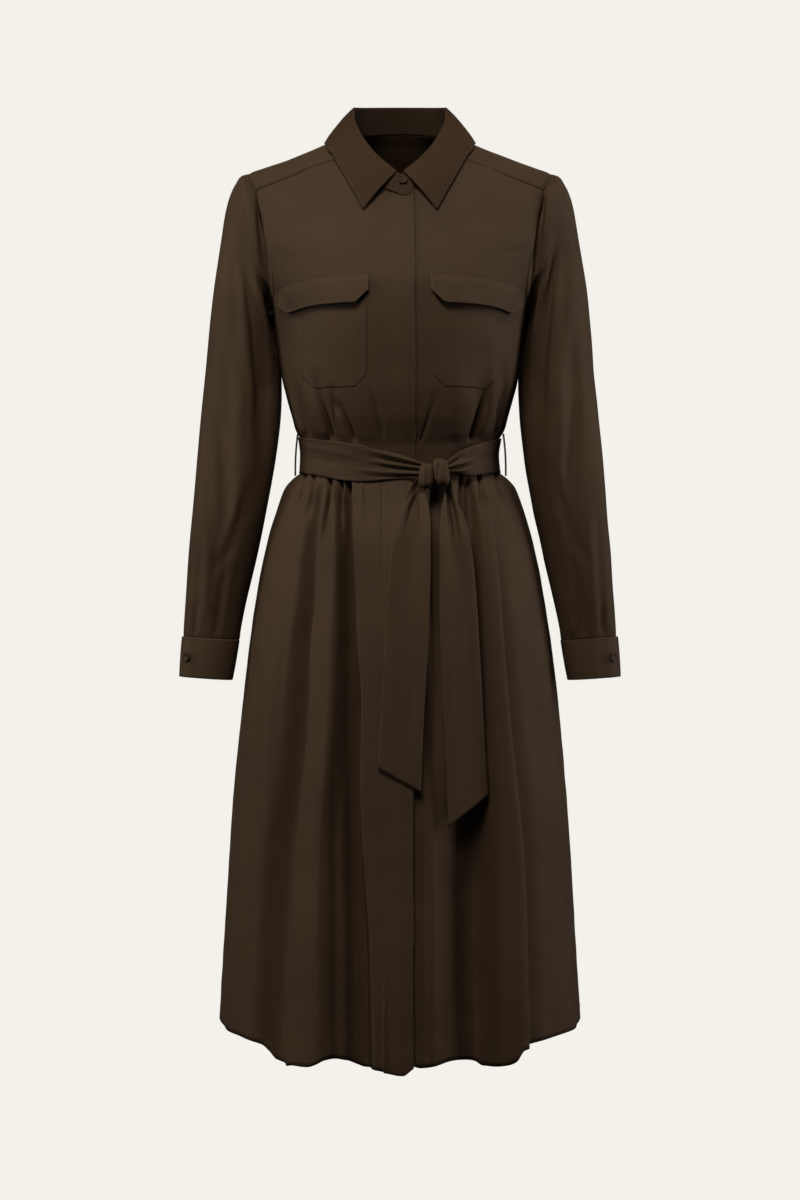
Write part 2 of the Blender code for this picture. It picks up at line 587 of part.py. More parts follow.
def sleeve_rows(loop, mirror):
    """Rows from the armhole to the cuff. The first two follow the armhole itself."""
    underarm = TIP_FRONT_CELLS + ARMHOLE_CELLS
    turns = loop_turns(loop, underarm)
    first = SLEEVE_SECTIONS[0]
    strays = [p - section_point(first, turn) for p, turn in zip(loop, turns)]
    rows = [
        [Vector(((p.x + shift) * mirror, p.y, p.z)) for p in loop]
        for shift in (SEAM_GAP, SLEEVE_START)
    ]
    for k, section in enumerate(SLEEVE_SECTIONS):
        fade = max(0.0, 1 - (k + 1) / 4) ** 1.5
        row = []
        for stray, turn in zip(strays, turns):
            point = section_point(section, turn, 1.0, sleeve_fold(turn, k))
            point += Vector((0.0, stray.y, 0.0)) * fade
            row.append(Vector((point.x * mirror, point.y, point.z)))
        rows.append(row)
    return rows


def cuff_rows(mirror):
    """A band lapped over itself in front of the outer side, where its button is."""
    rows = []
    turns = np.linspace(CUFF_LAP_ANGLE - CUFF_LAP, CUFF_LAP_ANGLE + 360.0, CUFF_CELLS + 1)
    for section in (CUFF_TOP, CUFF_BOTTOM):
        row = []
        for turn in turns:
            lap = min(1.0, max(0.0, (turn - CUFF_LAP_ANGLE - 360.0 + 2 * CUFF_LAP) / CUFF_LAP))
            row.append(section_point(section, turn, mirror, CUFF_LAP_LIFT * lap))
        rows.append(row)
    middle = [(a + b) / 2 for a, b in zip(*rows)]
    return [rows[0], middle, rows[1]]


# Collar


def stand_rows(neckline):
    """Rows from the neckline up to the roll line. The right end laps over the left end, and its
    corner is rounded off towards the roll."""
    back = curve_points(ROLL_BACK, YOKE_BACK_CELLS + TIP_BACK_CELLS)
    front = curve_points(ROLL_FRONT, TIP_FRONT_CELLS + NECK_CELLS)
    left = np.concatenate([back, front[1:]])[::-1]
    roll = np.concatenate([left, left[-2::-1] * (-1, 1, 1)])
    rows = [[], [], []]
    lap_full = len(neckline) - 4
    for i, (foot, top) in enumerate(zip(neckline, roll)):
        foot, top = Vector(foot), Vector(top)
        inwards = Vector((-top.x, -top.y, 0.0)).normalized()
        frontness = min(1.0, max(0.0, -top.y / 0.05))
        top += inwards * (STAND_INSET + STAND_FRONT_INSET * frontness)
        top.z -= STAND_DROP
        foot += (top - foot).normalized() * STAND_FOOT_GAP
        lap = min(1.0, max(0.0, (i - lap_full + 2) / 2))
        for row, t in zip(rows, (0.0, 0.5, 1.0)):
            row.append(foot.lerp(top, t) - Vector((0.0, STAND_LAP * lap, 0.0)))
    for row, (reach, drop) in zip(rows, STAND_END):
        last = row[-1]
        for share in (0.5, 1.0):
            row.append(last + Vector((reach * share, 0.0, -drop * share)))
    return rows


def leaf_rows():
    """Rows from the roll line down to the leaf's edge, from left to right over the back."""
    roll = np.concatenate([
        curve_points(ROLL_BACK, LEAF_HALF_CELLS), curve_points(ROLL_FRONT, LEAF_HALF_CELLS)[1:],
    ])
    edge = np.concatenate([
        curve_points(LEAF_BACK, LEAF_HALF_CELLS), curve_points(LEAF_FRONT, LEAF_HALF_CELLS)[1:],
    ])
    rows = []
    for j in range(LEAF_ROWS + 1):
        t = j / LEAF_ROWS
        half = []
        for top, (angle, height) in zip(roll, edge):
            top = Vector(top)
            low = body_point(angle, height, LEAF_LIFT)
            point = top.lerp(low, t)
            out = Vector((point.x, point.y - 0.01, 0.02)).normalized()
            half.append(point + out * LEAF_BULGE * 4 * t * (1 - t) + Vector((0, 0, 0.0006 * (1 - t))))
        other = [Vector((-p.x, p.y, p.z)) for p in half[1:]]
        rows.append(half[::-1] + other)
    return rows


# Pockets


def pocket_rows(tree, mirror):
    rows = []
    heights = list(np.linspace(POCKET_TOP, POCKET_BOTTOM + POCKET_CORNER, 7)) + [POCKET_BOTTOM]
    for height in heights[::-1]:
        inset = max(0.0, POCKET_BOTTOM + POCKET_CORNER - height)
        across = np.linspace(POCKET_IN + inset, POCKET_OUT - inset, 8)
        row = [laid_on(tree, x * mirror, height, POCKET_LIFT) for x in across]
        rows.append(row if mirror > 0 else row[::-1])
    return rows


def flap_rows(tree, mirror):
    """The flap is sewn down along its top edge and stands off the pocket towards its lower edge."""
    rows = []
    for height, lift in FLAP_ROWS:
        inset = max(0.0, FLAP_ROWS[1][0] - height)
        across = np.linspace(FLAP_IN + inset, FLAP_OUT - inset * 0.8, 13)
        row = [laid_on(tree, x * mirror, height, lift) for x in across]
        rows.append(row if mirror > 0 else row[::-1])
    return rows


def placket_rows(tree, heights, left, lowest=-math.inf):
    """The band over both fronts' edges. Below lowest it hangs on in the same line."""
    rows = []
    for height in heights:
        row = []
        for x in np.linspace(PLACKET_RIGHT, left, 4):
            place = laid_on(tree, x, max(height, lowest), PLACKET_LIFT)
            place.z -= max(0.0, lowest - height)
            row.append(place)
        rows.append(row)
    return rows


# Skirt


def hem_height(angle):
    turned = abs((angle + 180.0) % 360.0 - 180.0)
    if turned > 90.0:
        return FRONT_HEM[-1][1] + (BACK_HEM - FRONT_HEM[-1][1]) * min(1.0, (turned - 90.0) / 40.0)
    return eased(FRONT_HEM, 1, turned)


def skirt_front_grid(edge, drop):
    """The skirt front on the wearer's left, hem row first."""
    seam = SEAM_GAP / 2
    rows = []
    for share in [depth / SKIRT_ROWS[-1] for depth in SKIRT_ROWS[::-1]]:
        top, low = waist_height(0) - seam, hem_height(0) - drop
        first = angle_of(edge, top + (low - top) * share)
        row = []
        for angle in np.linspace(first, 90.0 - math.degrees(seam / 0.2), SKIRT_FRONT_CELLS + 1):
            low = hem_height(angle) - drop * max(0.0, 1 - max(0.0, angle) / RIGHT_HEM_DROP_ANGLE)
            top = waist_height(angle) - seam
            row.append((angle, top + (low - top) * share))
        rows.append(row)
    return np.array(rows)


def skirt_back_grid():
    seam = SEAM_GAP / 2
    rows = []
    across = 90.0 + math.degrees(seam / 0.2)
    for share in [depth / SKIRT_ROWS[-1] for depth in SKIRT_ROWS[::-1]]:
        row = []
        for angle in np.linspace(across, 360.0 - across, SKIRT_BACK_CELLS + 1):
            low, top = hem_height(angle), WAIST - seam
            row.append((angle, top + (low - top) * share))
        rows.append(row)
    return np.array(rows)


# Sash


def belt_rows():
    """The band from behind the knot, round the waist and back to it, lower edge first."""
    rows = [[], [], []]
    for angle in np.linspace(BELT_START, BELT_END, BELT_CELLS + 1):
        middle, half = eased(BELT_ROWS, 1, angle), eased(BELT_ROWS, 2, angle)
        for row, side in zip(rows, (-1, 0, 1)):
            row.append(body_point(angle, middle + side * half, BELT_LIFT))
    return rows


def belt_knot(mat, collection):
    """A rounded lump with the wrap's groove down its front."""
    bpy.ops.mesh.primitive_uv_sphere_add(segments=20, ring_count=12, radius=1.0)
    knot = bpy.context.active_object
    knot.name = "belt_knot"
    for vertex in knot.data.vertices:
        x, y, z = vertex.co
        squared = [math.copysign(abs(c) ** 0.82, c) for c in (x, y, z)]
        point = Vector([c * size / 2 for c, size in zip(squared, KNOT_SIZE)])
        if y < 0:
            point.y += KNOT_GROOVE * math.exp(-((x - 0.08 * z + 0.05) / 0.16) ** 2) * -y
        point.y += KNOT_LEAN * point.z
        point.z += 0.0030 * x
        vertex.co = point + Vector(KNOT_CENTRE)
    knot.data.materials.append(mat)
    knot.data.shade_smooth()
    for other in list(knot.users_collection):
        other.objects.unlink(knot)
    collection.objects.link(knot)
    return knot


def tail_rows(tree, table, point_drop):
    """A hanging end of the sash: it falls from the knot, rests on what stands out of the skirt
    and bridges the hollows. Its middle is folded in as deep as the table's valley."""
    top, low = table[0][0], table[-1][0]
    rows = []
    for share in np.linspace(1.0, 0.0, TAIL_ROW_COUNT + 1) ** 1.1:
        height = top + (low - top) * share
        left, right, valley = (eased(table, column, height) for column in (1, 2, 3))
        off = TAIL_CLEARANCE + WALL + valley + TAIL_KNOT_OFF * (1 - share) ** 6
        row = []
        for s in np.linspace(0.0, 1.0, TAIL_CELLS + 1):
            pointed = point_drop * (s if point_drop < 0 else s - 1) * share ** 6
            x = left + (right - left) * s
            row.append(Vector((x, laid_on(tree, x, height + pointed, 0.0).y - off, height + pointed)))
        first, last = row[0].y, row[-1].y
        for point, s in zip(row, np.linspace(0.0, 1.0, TAIL_CELLS + 1)):
            point.y = min(point.y, first + (last - first) * s) + valley * math.sin(math.pi * s) ** 2
        rows.append(row)
    return rows


def belt_loop(name, mirror, mat, collection):
    """A thread loop that stands round the belt at the side seam."""
    curve = bpy.data.curves.new(name, "CURVE")
    curve.dimensions = "3D"
    curve.bevel_depth = LOOP_RADIUS
    curve.bevel_resolution = 1
    curve.use_fill_caps = True
    spline = curve.splines.new("POLY")
    count = 9
    spline.points.add(count - 1)
    for i in range(count):
        t = i / (count - 1)
        height = LOOP_TOP + (LOOP_BOTTOM - LOOP_TOP) * t
        base = body_point(90.0, LOOP_TOP).x * (1 - t) + body_point(90.0, LOOP_BOTTOM).x * t
        bow = LOOP_RADIUS + LOOP_GAP + LOOP_BOW * math.sin(math.pi * t) ** 0.5
        spline.points[i].co = ((base + bow) * mirror, 0.0, height, 1.0)
    curve.materials.append(mat)
    obj = bpy.data.objects.new(name, curve)
    collection.objects.link(obj)
    return obj


def button(name, place, facing, mat, collection):
    """A flat round button with a raised rim, turned from its profile."""
    profile = (
        (BUTTON_RADIUS * 0.72, BUTTON_THICK * 0.72), (BUTTON_RADIUS * 0.80, BUTTON_THICK),
        (BUTTON_RADIUS * 0.94, BUTTON_THICK), (BUTTON_RADIUS, BUTTON_THICK * 0.7),
        (BUTTON_RADIUS, BUTTON_THICK * 0.3), (BUTTON_RADIUS * 0.9, 0.0),
    )
    steps = 16
    points, faces = [(0.0, 0.0, BUTTON_THICK * 0.72), (0.0, 0.0, 0.0)], []
    for radius, height in profile:
        for i in range(steps):
            turn = 2 * math.pi * i / steps
            points.append((radius * math.cos(turn), radius * math.sin(turn), height))
    for i in range(steps):
        after = (i + 1) % steps
        faces.append((0, 2 + i, 2 + after))
        for k in range(len(profile) - 1):
            a, b = 2 + k * steps, 2 + (k + 1) * steps
            faces.append((a + i, b + i, b + after, a + after))
        last = 2 + (len(profile) - 1) * steps
        faces.append((1, last + after, last + i))
    mesh = bpy.data.meshes.new(name)
    mesh.from_pydata(points, [], faces)
    mesh.materials.append(mat)
    obj = bpy.data.objects.new(name, mesh)
    obj.location = place
    obj.rotation_euler = facing.to_track_quat("Z", "Y").to_euler()
    collection.objects.link(obj)
    return obj


def main():
    clear_scene()
    dress = bpy.data.collections.new("shirt_dress")
    bpy.context.scene.collection.children.link(dress)
    cloth_mat = material("woven_crepe", CLOTH_COLOUR, 0.8)
    button_mat = material("button_resin", BUTTON_COLOUR, 0.35)

    left_grid = bodice_front_grid(FRONT_EDGE + SEAM_GAP)
    right_grid = mirrored(bodice_front_grid(-FRONT_EDGE))
    back_grid = bodice_back_grid()
    yoke = yoke_grid()
    front_left = cloth("bodice_front_left", on_body(left_grid), cloth_mat, dress)
    front_right = cloth("bodice_front_right", on_body(right_grid), cloth_mat, dress)
    cloth("bodice_back", on_body(back_grid), cloth_mat, dress)
    cloth("yoke", on_body(yoke), cloth_mat, dress)

    loop = armhole_loop(on_body(left_grid), on_body(yoke), on_body(back_grid))
    for side, mirror in (("left", 1.0), ("right", -1.0)):
        rows = sleeve_rows(loop, mirror)
        cloth(f"sleeve_{side}", rows if mirror > 0 else rows[::-1], cloth_mat, dress, closed=True)
        rows = cuff_rows(mirror)
        cloth(f"cuff_{side}", rows if mirror > 0 else rows[::-1], cloth_mat, dress)

    neck_left = [body_point(*p) for p in left_grid[-1][: NECK_CELLS + 1]]
    neck_yoke = [body_point(*p) for p in yoke[-1]]
    neckline = neck_left[:-1] + neck_yoke + [Vector((-p.x, p.y, p.z)) for p in neck_left[:-1][::-1]]
    stand = cloth("collar_stand", stand_rows(neckline), cloth_mat, dress)
    cloth("collar_leaf", leaf_rows()[::-1], cloth_mat, dress)

    fronts = surface_of(front_left, front_right)
    for side, mirror in (("left", 1.0), ("right", -1.0)):
        cloth(f"pocket_{side}", pocket_rows(fronts, mirror), cloth_mat, dress)
        cloth(f"flap_{side}", flap_rows(fronts, mirror), cloth_mat, dress)
    rows = SIDE_CELLS + ARMHOLE_CELLS
    heights = heights_from_waist(waist_height(0) + 0.001, FRONT_NECK[0][1] - 0.0020, rows)
    cloth("bodice_placket", placket_rows(fronts, heights, PLACKET_LEFT), cloth_mat, dress)

    left_skirt = skirt_front_grid(FRONT_EDGE + SEAM_GAP, 0.0)
    right_skirt = mirrored(skirt_front_grid(-FRONT_EDGE, RIGHT_HEM_DROP))
    skirt_left = cloth("skirt_front_left", on_body(left_skirt), cloth_mat, dress)
    skirt_right = cloth("skirt_front_right", on_body(right_skirt), cloth_mat, dress)
    cloth("skirt_back", on_body(skirt_back_grid()), cloth_mat, dress)
    skirts = surface_of(skirt_left, skirt_right)
    lowest = hem_height(angle_of(PLACKET_LEFT, FRONT_HEM[0][1])) + 0.0010
    top, low = waist_height(0) - 0.001, FRONT_HEM[0][1] - RIGHT_HEM_DROP
    heights = [top + (low - top) * depth / SKIRT_ROWS[-1] for depth in SKIRT_ROWS[::-1]]
    rows = placket_rows(skirts, heights, PLACKET_LEFT - 0.0025, lowest)
    placket = cloth("skirt_placket", rows, cloth_mat, dress)

    cloth("belt_band", belt_rows(), cloth_mat, dress)
    belt_knot(cloth_mat, dress)
    front = surface_of(skirt_left, skirt_right, placket)
    for side, table in (("right", TAIL_RIGHT_ROWS), ("left", TAIL_LEFT_ROWS)):
        rows = tail_rows(front, table, TAIL_POINT[side])
        cloth(f"belt_tail_{side}", rows, cloth_mat, dress)
    belt_loop("belt_loop_left", 1.0, cloth_mat, dress)
    belt_loop("belt_loop_right", -1.0, cloth_mat, dress)

    surface = surface_of(stand)
    on = laid_on(surface, BUTTON_AT[0], BUTTON_AT[1], 0.0)
    out = (laid_on(surface, BUTTON_AT[0], BUTTON_AT[1], 0.01) - on).normalized()
    button("button_collar", on + out * BUTTON_GAP, out, button_mat, dress)
    for side, mirror in (("left", 1.0), ("right", -1.0)):
        middle = [(a + b) / 2 for a, b in zip(CUFF_TOP, CUFF_BOTTOM)]
        on = section_point(middle, CUFF_BUTTON_TURN, mirror, CUFF_LAP_LIFT)
        out = (section_point(middle, CUFF_BUTTON_TURN, mirror, 0.01) - on).normalized()
        button(f"button_cuff_{side}", on + out * BUTTON_GAP, out, button_mat, dress)


main()
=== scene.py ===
import math

import bpy
import numpy as np
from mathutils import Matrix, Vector
from mathutils.bvhtree import BVHTree


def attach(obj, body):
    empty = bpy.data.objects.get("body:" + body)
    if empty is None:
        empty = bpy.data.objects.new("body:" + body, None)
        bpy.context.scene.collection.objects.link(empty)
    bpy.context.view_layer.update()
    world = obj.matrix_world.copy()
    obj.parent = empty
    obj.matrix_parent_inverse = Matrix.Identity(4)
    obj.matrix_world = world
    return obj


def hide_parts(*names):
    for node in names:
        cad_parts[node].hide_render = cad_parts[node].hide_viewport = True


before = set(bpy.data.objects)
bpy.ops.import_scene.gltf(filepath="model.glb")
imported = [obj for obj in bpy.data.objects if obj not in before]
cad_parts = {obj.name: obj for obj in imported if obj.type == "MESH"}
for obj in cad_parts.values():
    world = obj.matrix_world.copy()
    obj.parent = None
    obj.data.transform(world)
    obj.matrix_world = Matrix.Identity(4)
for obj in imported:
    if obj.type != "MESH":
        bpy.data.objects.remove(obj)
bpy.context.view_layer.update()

for spare in ("Cube", "Light", "Camera"):
    if spare in bpy.data.objects:
        bpy.data.objects.remove(bpy.data.objects[spare])

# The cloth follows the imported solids: same rings, seams and main folds, on finer grids.
# Angles go round the body from the centre front (0) over the wearer's left (90) to the back.

rings = [  # height, half width, depth of the front, depth of the back, squareness
    (0.024, 0.04, 0.006, 0.046, 2.4), (0.02, 0.048, 0.008, 0.05, 2.4),
    (0.013, 0.058, 0.011, 0.054, 2.4), (0.006, 0.07, 0.015, 0.058, 2.4),
    (-0.005, 0.096, 0.021, 0.063, 2.5), (-0.0125, 0.113, 0.026, 0.067, 2.6),
    (-0.02, 0.131, 0.031, 0.071, 2.6), (-0.0275, 0.15, 0.036, 0.075, 2.6),
    (-0.035, 0.171, 0.041, 0.079, 2.6), (-0.0425, 0.188, 0.047, 0.082, 2.6),
    (-0.064, 0.193, 0.06, 0.089, 2.6), (-0.083, 0.193, 0.0715, 0.094, 2.6),
    (-0.105, 0.19, 0.084, 0.098, 2.5), (-0.14, 0.182, 0.102, 0.102, 2.4),
    (-0.17, 0.172, 0.114, 0.104, 2.3), (-0.195, 0.163, 0.121, 0.104, 2.3),
    (-0.215, 0.158, 0.1225, 0.103, 2.3), (-0.25, 0.153, 0.12, 0.099, 2.3),
    (-0.3, 0.1465, 0.112, 0.093, 2.3), (-0.322, 0.141, 0.108, 0.091, 2.3),
    (-0.347, 0.134, 0.1034, 0.089, 2.3), (-0.359, 0.1308, 0.1021, 0.0873, 2.3),
    (-0.366, 0.1274, 0.1009, 0.086, 2.3), (-0.374, 0.1225, 0.099, 0.0838, 2.3),
    (-0.392, 0.12, 0.0964, 0.082, 2.3), (-0.411, 0.1215, 0.0966, 0.0828, 2.3),
    (-0.4225, 0.134, 0.0996, 0.093, 2.3), (-0.432, 0.1425, 0.103, 0.101, 2.3),
    (-0.4475, 0.149, 0.109, 0.109, 2.25),
    (-0.4975, 0.165, 0.126, 0.128, 2.2), (-0.5475, 0.176, 0.136, 0.139, 2.2),
    (-0.6225, 0.1875, 0.1475, 0.15, 2.2), (-0.7225, 0.199, 0.158, 0.161, 2.2),
    (-0.8225, 0.208, 0.167, 0.17, 2.2), (-0.9725, 0.217, 0.178, 0.18, 2.2),
    (-1.13, 0.226, 0.187, 0.189, 2.2),
]
waist, waistDip, waistDipReach = -0.392, 0.017, 0.13
beltZone, beltFade = 0.021, 0.014
seamGap = 0.0003


def eased(rows, column, at):
    # smooth column of a table that never overshoots, for any array of places
    xs = np.array([row[0] for row in rows], float)
    ys = np.array([row[column] for row in rows], float)
    if xs[0] > xs[-1]:
        xs, ys = xs[::-1], ys[::-1]
    step = np.diff(xs)
    rise = np.diff(ys) / step
    slope = np.zeros(len(xs))
    slope[0], slope[-1] = rise[0], rise[-1]
    before, after = rise[:-1], rise[1:]
    same = before * after > 0
    total = np.where(same, before + after, 1.0)
    slope[1:-1] = np.where(same, 2 * before * after / total, 0.0)
    at = np.clip(np.asarray(at, float), xs[0], xs[-1])
    i = np.clip(np.searchsorted(xs, at, side="right") - 1, 0, len(step) - 1)
    t = (at - xs[i]) / step[i]
    h00, h10 = (1 + 2 * t) * (1 - t) ** 2, t * (1 - t) ** 2
    h01, h11 = t * t * (3 - 2 * t), t * t * (t - 1)
    return h00 * ys[i] + h10 * step[i] * slope[i] + h01 * ys[i + 1] + h11 * step[i] * slope[i + 1]


def signedPower(value, power):
    return np.copysign(np.abs(value) ** power, value)


def unit(vectors):
    return vectors / np.linalg.norm(vectors, axis=-1, keepdims=True)


def smooth(value):
    value = np.clip(value, 0.0, 1.0)
    return value * value * (3 - 2 * value)


def bump(away):
    # 1 in the middle, 0 from a distance of 1 on
    return np.where(np.abs(away) < 1, 0.5 * (1 + np.cos(np.pi * np.clip(away, -1, 1))), 0.0)


def waistHeight(angle):
    return waist - waistDip * np.maximum(0.0, np.cos(np.radians(angle))) ** 1.5


def foldRise(folds, top, end, angle, height):
    along = np.clip((height - top) / (end - top), 0.0, 1.0)
    total = np.zeros_like(along)
    for start, stop, wide, endWide, rise, middle, endRise, lean in folds:
        centre = start + (stop - start) * along
        width = wide + (endWide - wide) * along
        away = (angle - centre + 180.0) % 360.0 - 180.0
        outer = math.copysign(1.0, start if abs(start) < 180 else 1)
        reach = width * (1 - lean * np.copysign(1.0, away) * outer)
        amount = eased([(0.0, rise), (0.4, middle), (1.0, endRise)], 1, along)
        total += amount * bump(away / reach)
    return total


skirtFolds = [
    # start, end, width, end width, rise, middle, end rise, lean (degrees and metres)
    (-62, -63, 9, 13, 0.001, 0.003, 0.005, 0.2),
    (64, 65, 9, 13, 0.001, 0.003, 0.005, 0.2),
    (104, 103, 7, 9, -0.002, -0.0055, -0.008, 0),
    (116, 118, 8, 11, 0.003, 0.01, 0.017, -0.2),
    (130, 133, 7, 9, -0.003, -0.01, -0.014, 0),
    (144, 147, 8, 10, 0.003, 0.01, 0.015, 0.2),
    (158, 161, 7, 9, -0.003, -0.01, -0.015, 0),
    (174, 176, 9, 11, 0.003, 0.011, 0.018, 0.1),
    (189, 192, 7, 9, -0.003, -0.009, -0.014, 0),
    (203, 206, 8, 10, 0.003, 0.009, 0.014, -0.2),
    (218, 220, 7, 9, -0.003, -0.01, -0.015, 0),
    (233, 234, 8, 11, 0.003, 0.011, 0.018, 0.2),
    (249, 250, 7, 9, -0.002, -0.006, -0.009, 0),
]
bodiceFolds = [
    (-30, -33, 5, 5, 0, -0.002, -0.003, 0),
    (-42, -42, 6, 6, 0, 0.003, 0.003, 0),
    (-54, -53, 6, 6, 0, -0.002, -0.003, 0),
    (-66, -65, 6, 6, 0, 0.0025, 0.0025, 0),
    (29, 31, 6, 6, 0, 0.002, 0.002, 0),
    (41, 42, 6, 6, 0, -0.0025, -0.003, 0),
    (54, 54, 6, 6, 0, 0.003, 0.003, 0),
    (66, 66, 6, 6, 0, -0.002, -0.0025, 0),
    (126, 127, 8, 8, 0, 0.003, 0.003, 0),
    (142, 143, 8, 8, 0, -0.003, -0.003, 0),
    (158, 159, 8, 8, 0, 0.003, 0.003, 0),
    (176, 176, 9, 9, 0, -0.003, -0.003, 0),
    (194, 193, 9, 9, 0, 0.003, 0.003, 0),
    (212, 211, 9, 9, 0, -0.003, -0.003, 0),
    (230, 229, 8, 8, 0, 0.003, 0.003, 0),
]


def ringAt(angle, height):
    away = np.minimum(1.0, np.abs(height - waistHeight(angle)) / waistDipReach)
    level = height + (waist - waistHeight(angle)) * (1 - away * away * (3 - 2 * away))
    front = np.cos(np.radians(angle)) > 0
    depth = np.where(front, eased(rings, 2, level), eased(rings, 3, level))
    return eased(rings, 1, level), depth, eased(rings, 4, level)


def bodyPoint(grid, lift=0.0):
    # grid holds angle and height in its last axis; the outer face of the cloth there
    angle, height = np.asarray(grid, float)[..., 0], np.asarray(grid, float)[..., 1]
    width, depth, power = ringAt(angle, height)
    sine, cosine = np.sin(np.radians(angle)), np.cos(np.radians(angle))
    x, y = width * signedPower(sine, 2 / power), -depth * signedPower(cosine, 2 / power)
    out = unit(np.stack([
        signedPower(x / width, power - 1) / width, signedPower(y / depth, power - 1) / depth,
        np.zeros_like(x),
    ], axis=-1))
    fromWaist = height - waistHeight(angle)
    free = smooth((np.abs(fromWaist) - beltZone) / beltFade)
    skirt = foldRise(skirtFolds, -0.41, -1.11, angle, height)
    bodice = np.where(height < -0.31, foldRise(bodiceFolds, -0.31, -0.395, angle, height), 0.0)
    lift = lift + free * np.where(fromWaist < 0, skirt, bodice)
    return np.stack([x, y, height], axis=-1) + out * np.asarray(lift)[..., None]


def angleOf(distance, height):
    distance, height = np.broadcast_arrays(np.asarray(distance, float), np.asarray(height, float))
    angle = np.zeros(distance.shape)
    for _ in range(4):
        width, _, power = ringAt(angle, height)
        angle = np.degrees(np.arcsin(signedPower(np.clip(distance / width, -1, 1), power / 2)))
    return angle


def curveAt(points, shares, onBody=False):
    # points of a smooth curve at shares of its length
    dense = refine(points, 24)
    placed = bodyPoint(dense) if onBody else dense
    length = np.concatenate([[0.0], np.cumsum(np.linalg.norm(np.diff(placed, axis=0), axis=1))])
    at = np.asarray(shares) * length[-1]
    return np.stack([np.interp(at, length, column) for column in dense.T], axis=1)


def frontCurve(points):
    points = np.array(points, float)
    return np.stack([angleOf(points[:, 0], points[:, 1]), points[:, 1]], axis=1)


def patch(bottom, top, start, end, fade=1):
    s = np.linspace(0, 1, len(bottom))[None, :, None] ** fade
    t = np.linspace(0, 1, len(start))[:, None, None]
    bottom, top, start, end = (np.asarray(edge, float) for edge in (bottom, top, start, end))
    corners = ((1 - s) * (1 - t) * bottom[0] + s * (1 - t) * bottom[-1]
               + (1 - s) * t * top[0] + s * t * top[-1])
    return ((1 - t) * bottom[None] + t * top[None]
            + (1 - s) * start[:, None] + s * end[:, None] - corners)


def mirrored(grid):
    turned = grid[:, ::-1].copy()
    turned[..., 0] *= -1
    return turned


def gridNormals(points, closed=False):
    if closed:
        across = np.roll(points, -1, axis=1) - np.roll(points, 1, axis=1)
    else:
        across = np.gradient(points, axis=1)
    normals = np.cross(across, np.gradient(points, axis=0))
    return normals / np.maximum(np.linalg.norm(normals, axis=-1, keepdims=True), 1e-12)


def refine(rows, cells):
    # smooth rows between the given ones, on curves through them
    rows = [np.asarray(row, float) for row in rows]
    rows = [2 * rows[0] - rows[1]] + rows + [2 * rows[-1] - rows[-2]]
    fine = []
    for a, b, c, d in zip(rows, rows[1:], rows[2:], rows[3:]):
        for t in np.linspace(0, 1, cells, endpoint=False):
            fine.append(0.5 * (2 * b + (c - a) * t + (2 * a - 5 * b + 4 * c - d) * t ** 2
                               + (3 * b - a - 3 * c + d) * t ** 3))
    return np.array(fine + [rows[-2]])


def drape(points, seed, size=0.0006, closed=False):
    # slow uneven waves, so that no panel is perfectly even
    rng = np.random.default_rng(seed)
    field = np.zeros(points.shape[:-1])
    for wavelength, share in ((0.11, 1.0), (0.062, 0.7), (0.034, 0.35)):
        for _ in range(3):
            way = rng.normal(size=3) * (1.0, 1.0, 0.55)
            way *= 2 * np.pi / wavelength / np.linalg.norm(way)
            field += share * np.sin(points @ way + rng.uniform(0, 6.28)) / 3
    return points + gridNormals(points, closed) * (field * size)[..., None]


def uprightFolds(points, folds, front=True):
    # each fold is a run of rows: height, x, left width, right width, rise (all in mm)
    x, z = points[..., 0] * 1000, points[..., 2] * 1000
    side = points[..., 1] < 0 if front else points[..., 1] > 0
    total = np.zeros(x.shape)
    for fold in folds:
        heights = [row[0] for row in fold]
        inside = smooth((max(heights) - z) / 12 + 0.5) * smooth((z - min(heights)) / 12 + 0.5)
        dx = x - eased(fold, 1, z)
        width = np.where(dx < 0, eased(fold, 2, z), eased(fold, 3, z))
        total += inside * eased(fold, 4, z) * bump(dx / np.maximum(width, 0.1))
    return np.where(side, total, 0.0) / 1000


def creases(points, lines, front=True):
    # each crease is a run of points: x, height, half width, rise (all in mm)
    place = points[..., [0, 2]] * 1000
    side = points[..., 1] < 0 if front else points[..., 1] > 0
    total = np.zeros(place.shape[:-1])
    for line in lines:
        nearest = np.full(total.shape, 1e9)
        width = np.ones(total.shape)
        rise = np.zeros(total.shape)
        for a, b in zip(line, line[1:]):
            start, way = np.array(a[:2], float), np.array(b[:2], float) - a[:2]
            t = np.clip(((place - start) @ way) / (way @ way), 0, 1)
            gap = np.linalg.norm(place - start - t[..., None] * way, axis=-1)
            closer = gap < nearest
            nearest = np.where(closer, gap, nearest)
            width = np.where(closer, a[2] + (b[2] - a[2]) * t, width)
            rise = np.where(closer, a[3] + (b[3] - a[3]) * t, rise)
        total += rise * bump(nearest / np.maximum(width, 0.1))
    return np.where(side, total, 0.0) / 1000


def moved(points, field, closed=False):
    return points + gridNormals(points, closed) * np.asarray(field)[..., None]


# Materials


def linear(code):
    parts = [int(code[i:i + 2], 16) / 255 for i in (0, 2, 4)]
    return tuple(c / 12.92 if c <= 0.04045 else ((c + 0.055) / 1.055) ** 2.4 for c in parts) + (1.0,)


def addObject(name, data):
    obj = bpy.data.objects.new(name, data)
    bpy.context.scene.collection.objects.link(obj)
    return obj


def addNode(tree, kind, settings=(), links=()):
    node = tree.nodes.new(kind)
    for key, value in dict(settings).items():
        if isinstance(key, int) or key in node.inputs:
            node.inputs[key].default_value = value
        else:
            setattr(node, key, value)
    for key, source in dict(links).items():
        tree.links.new(source, node.inputs[key])
    return node


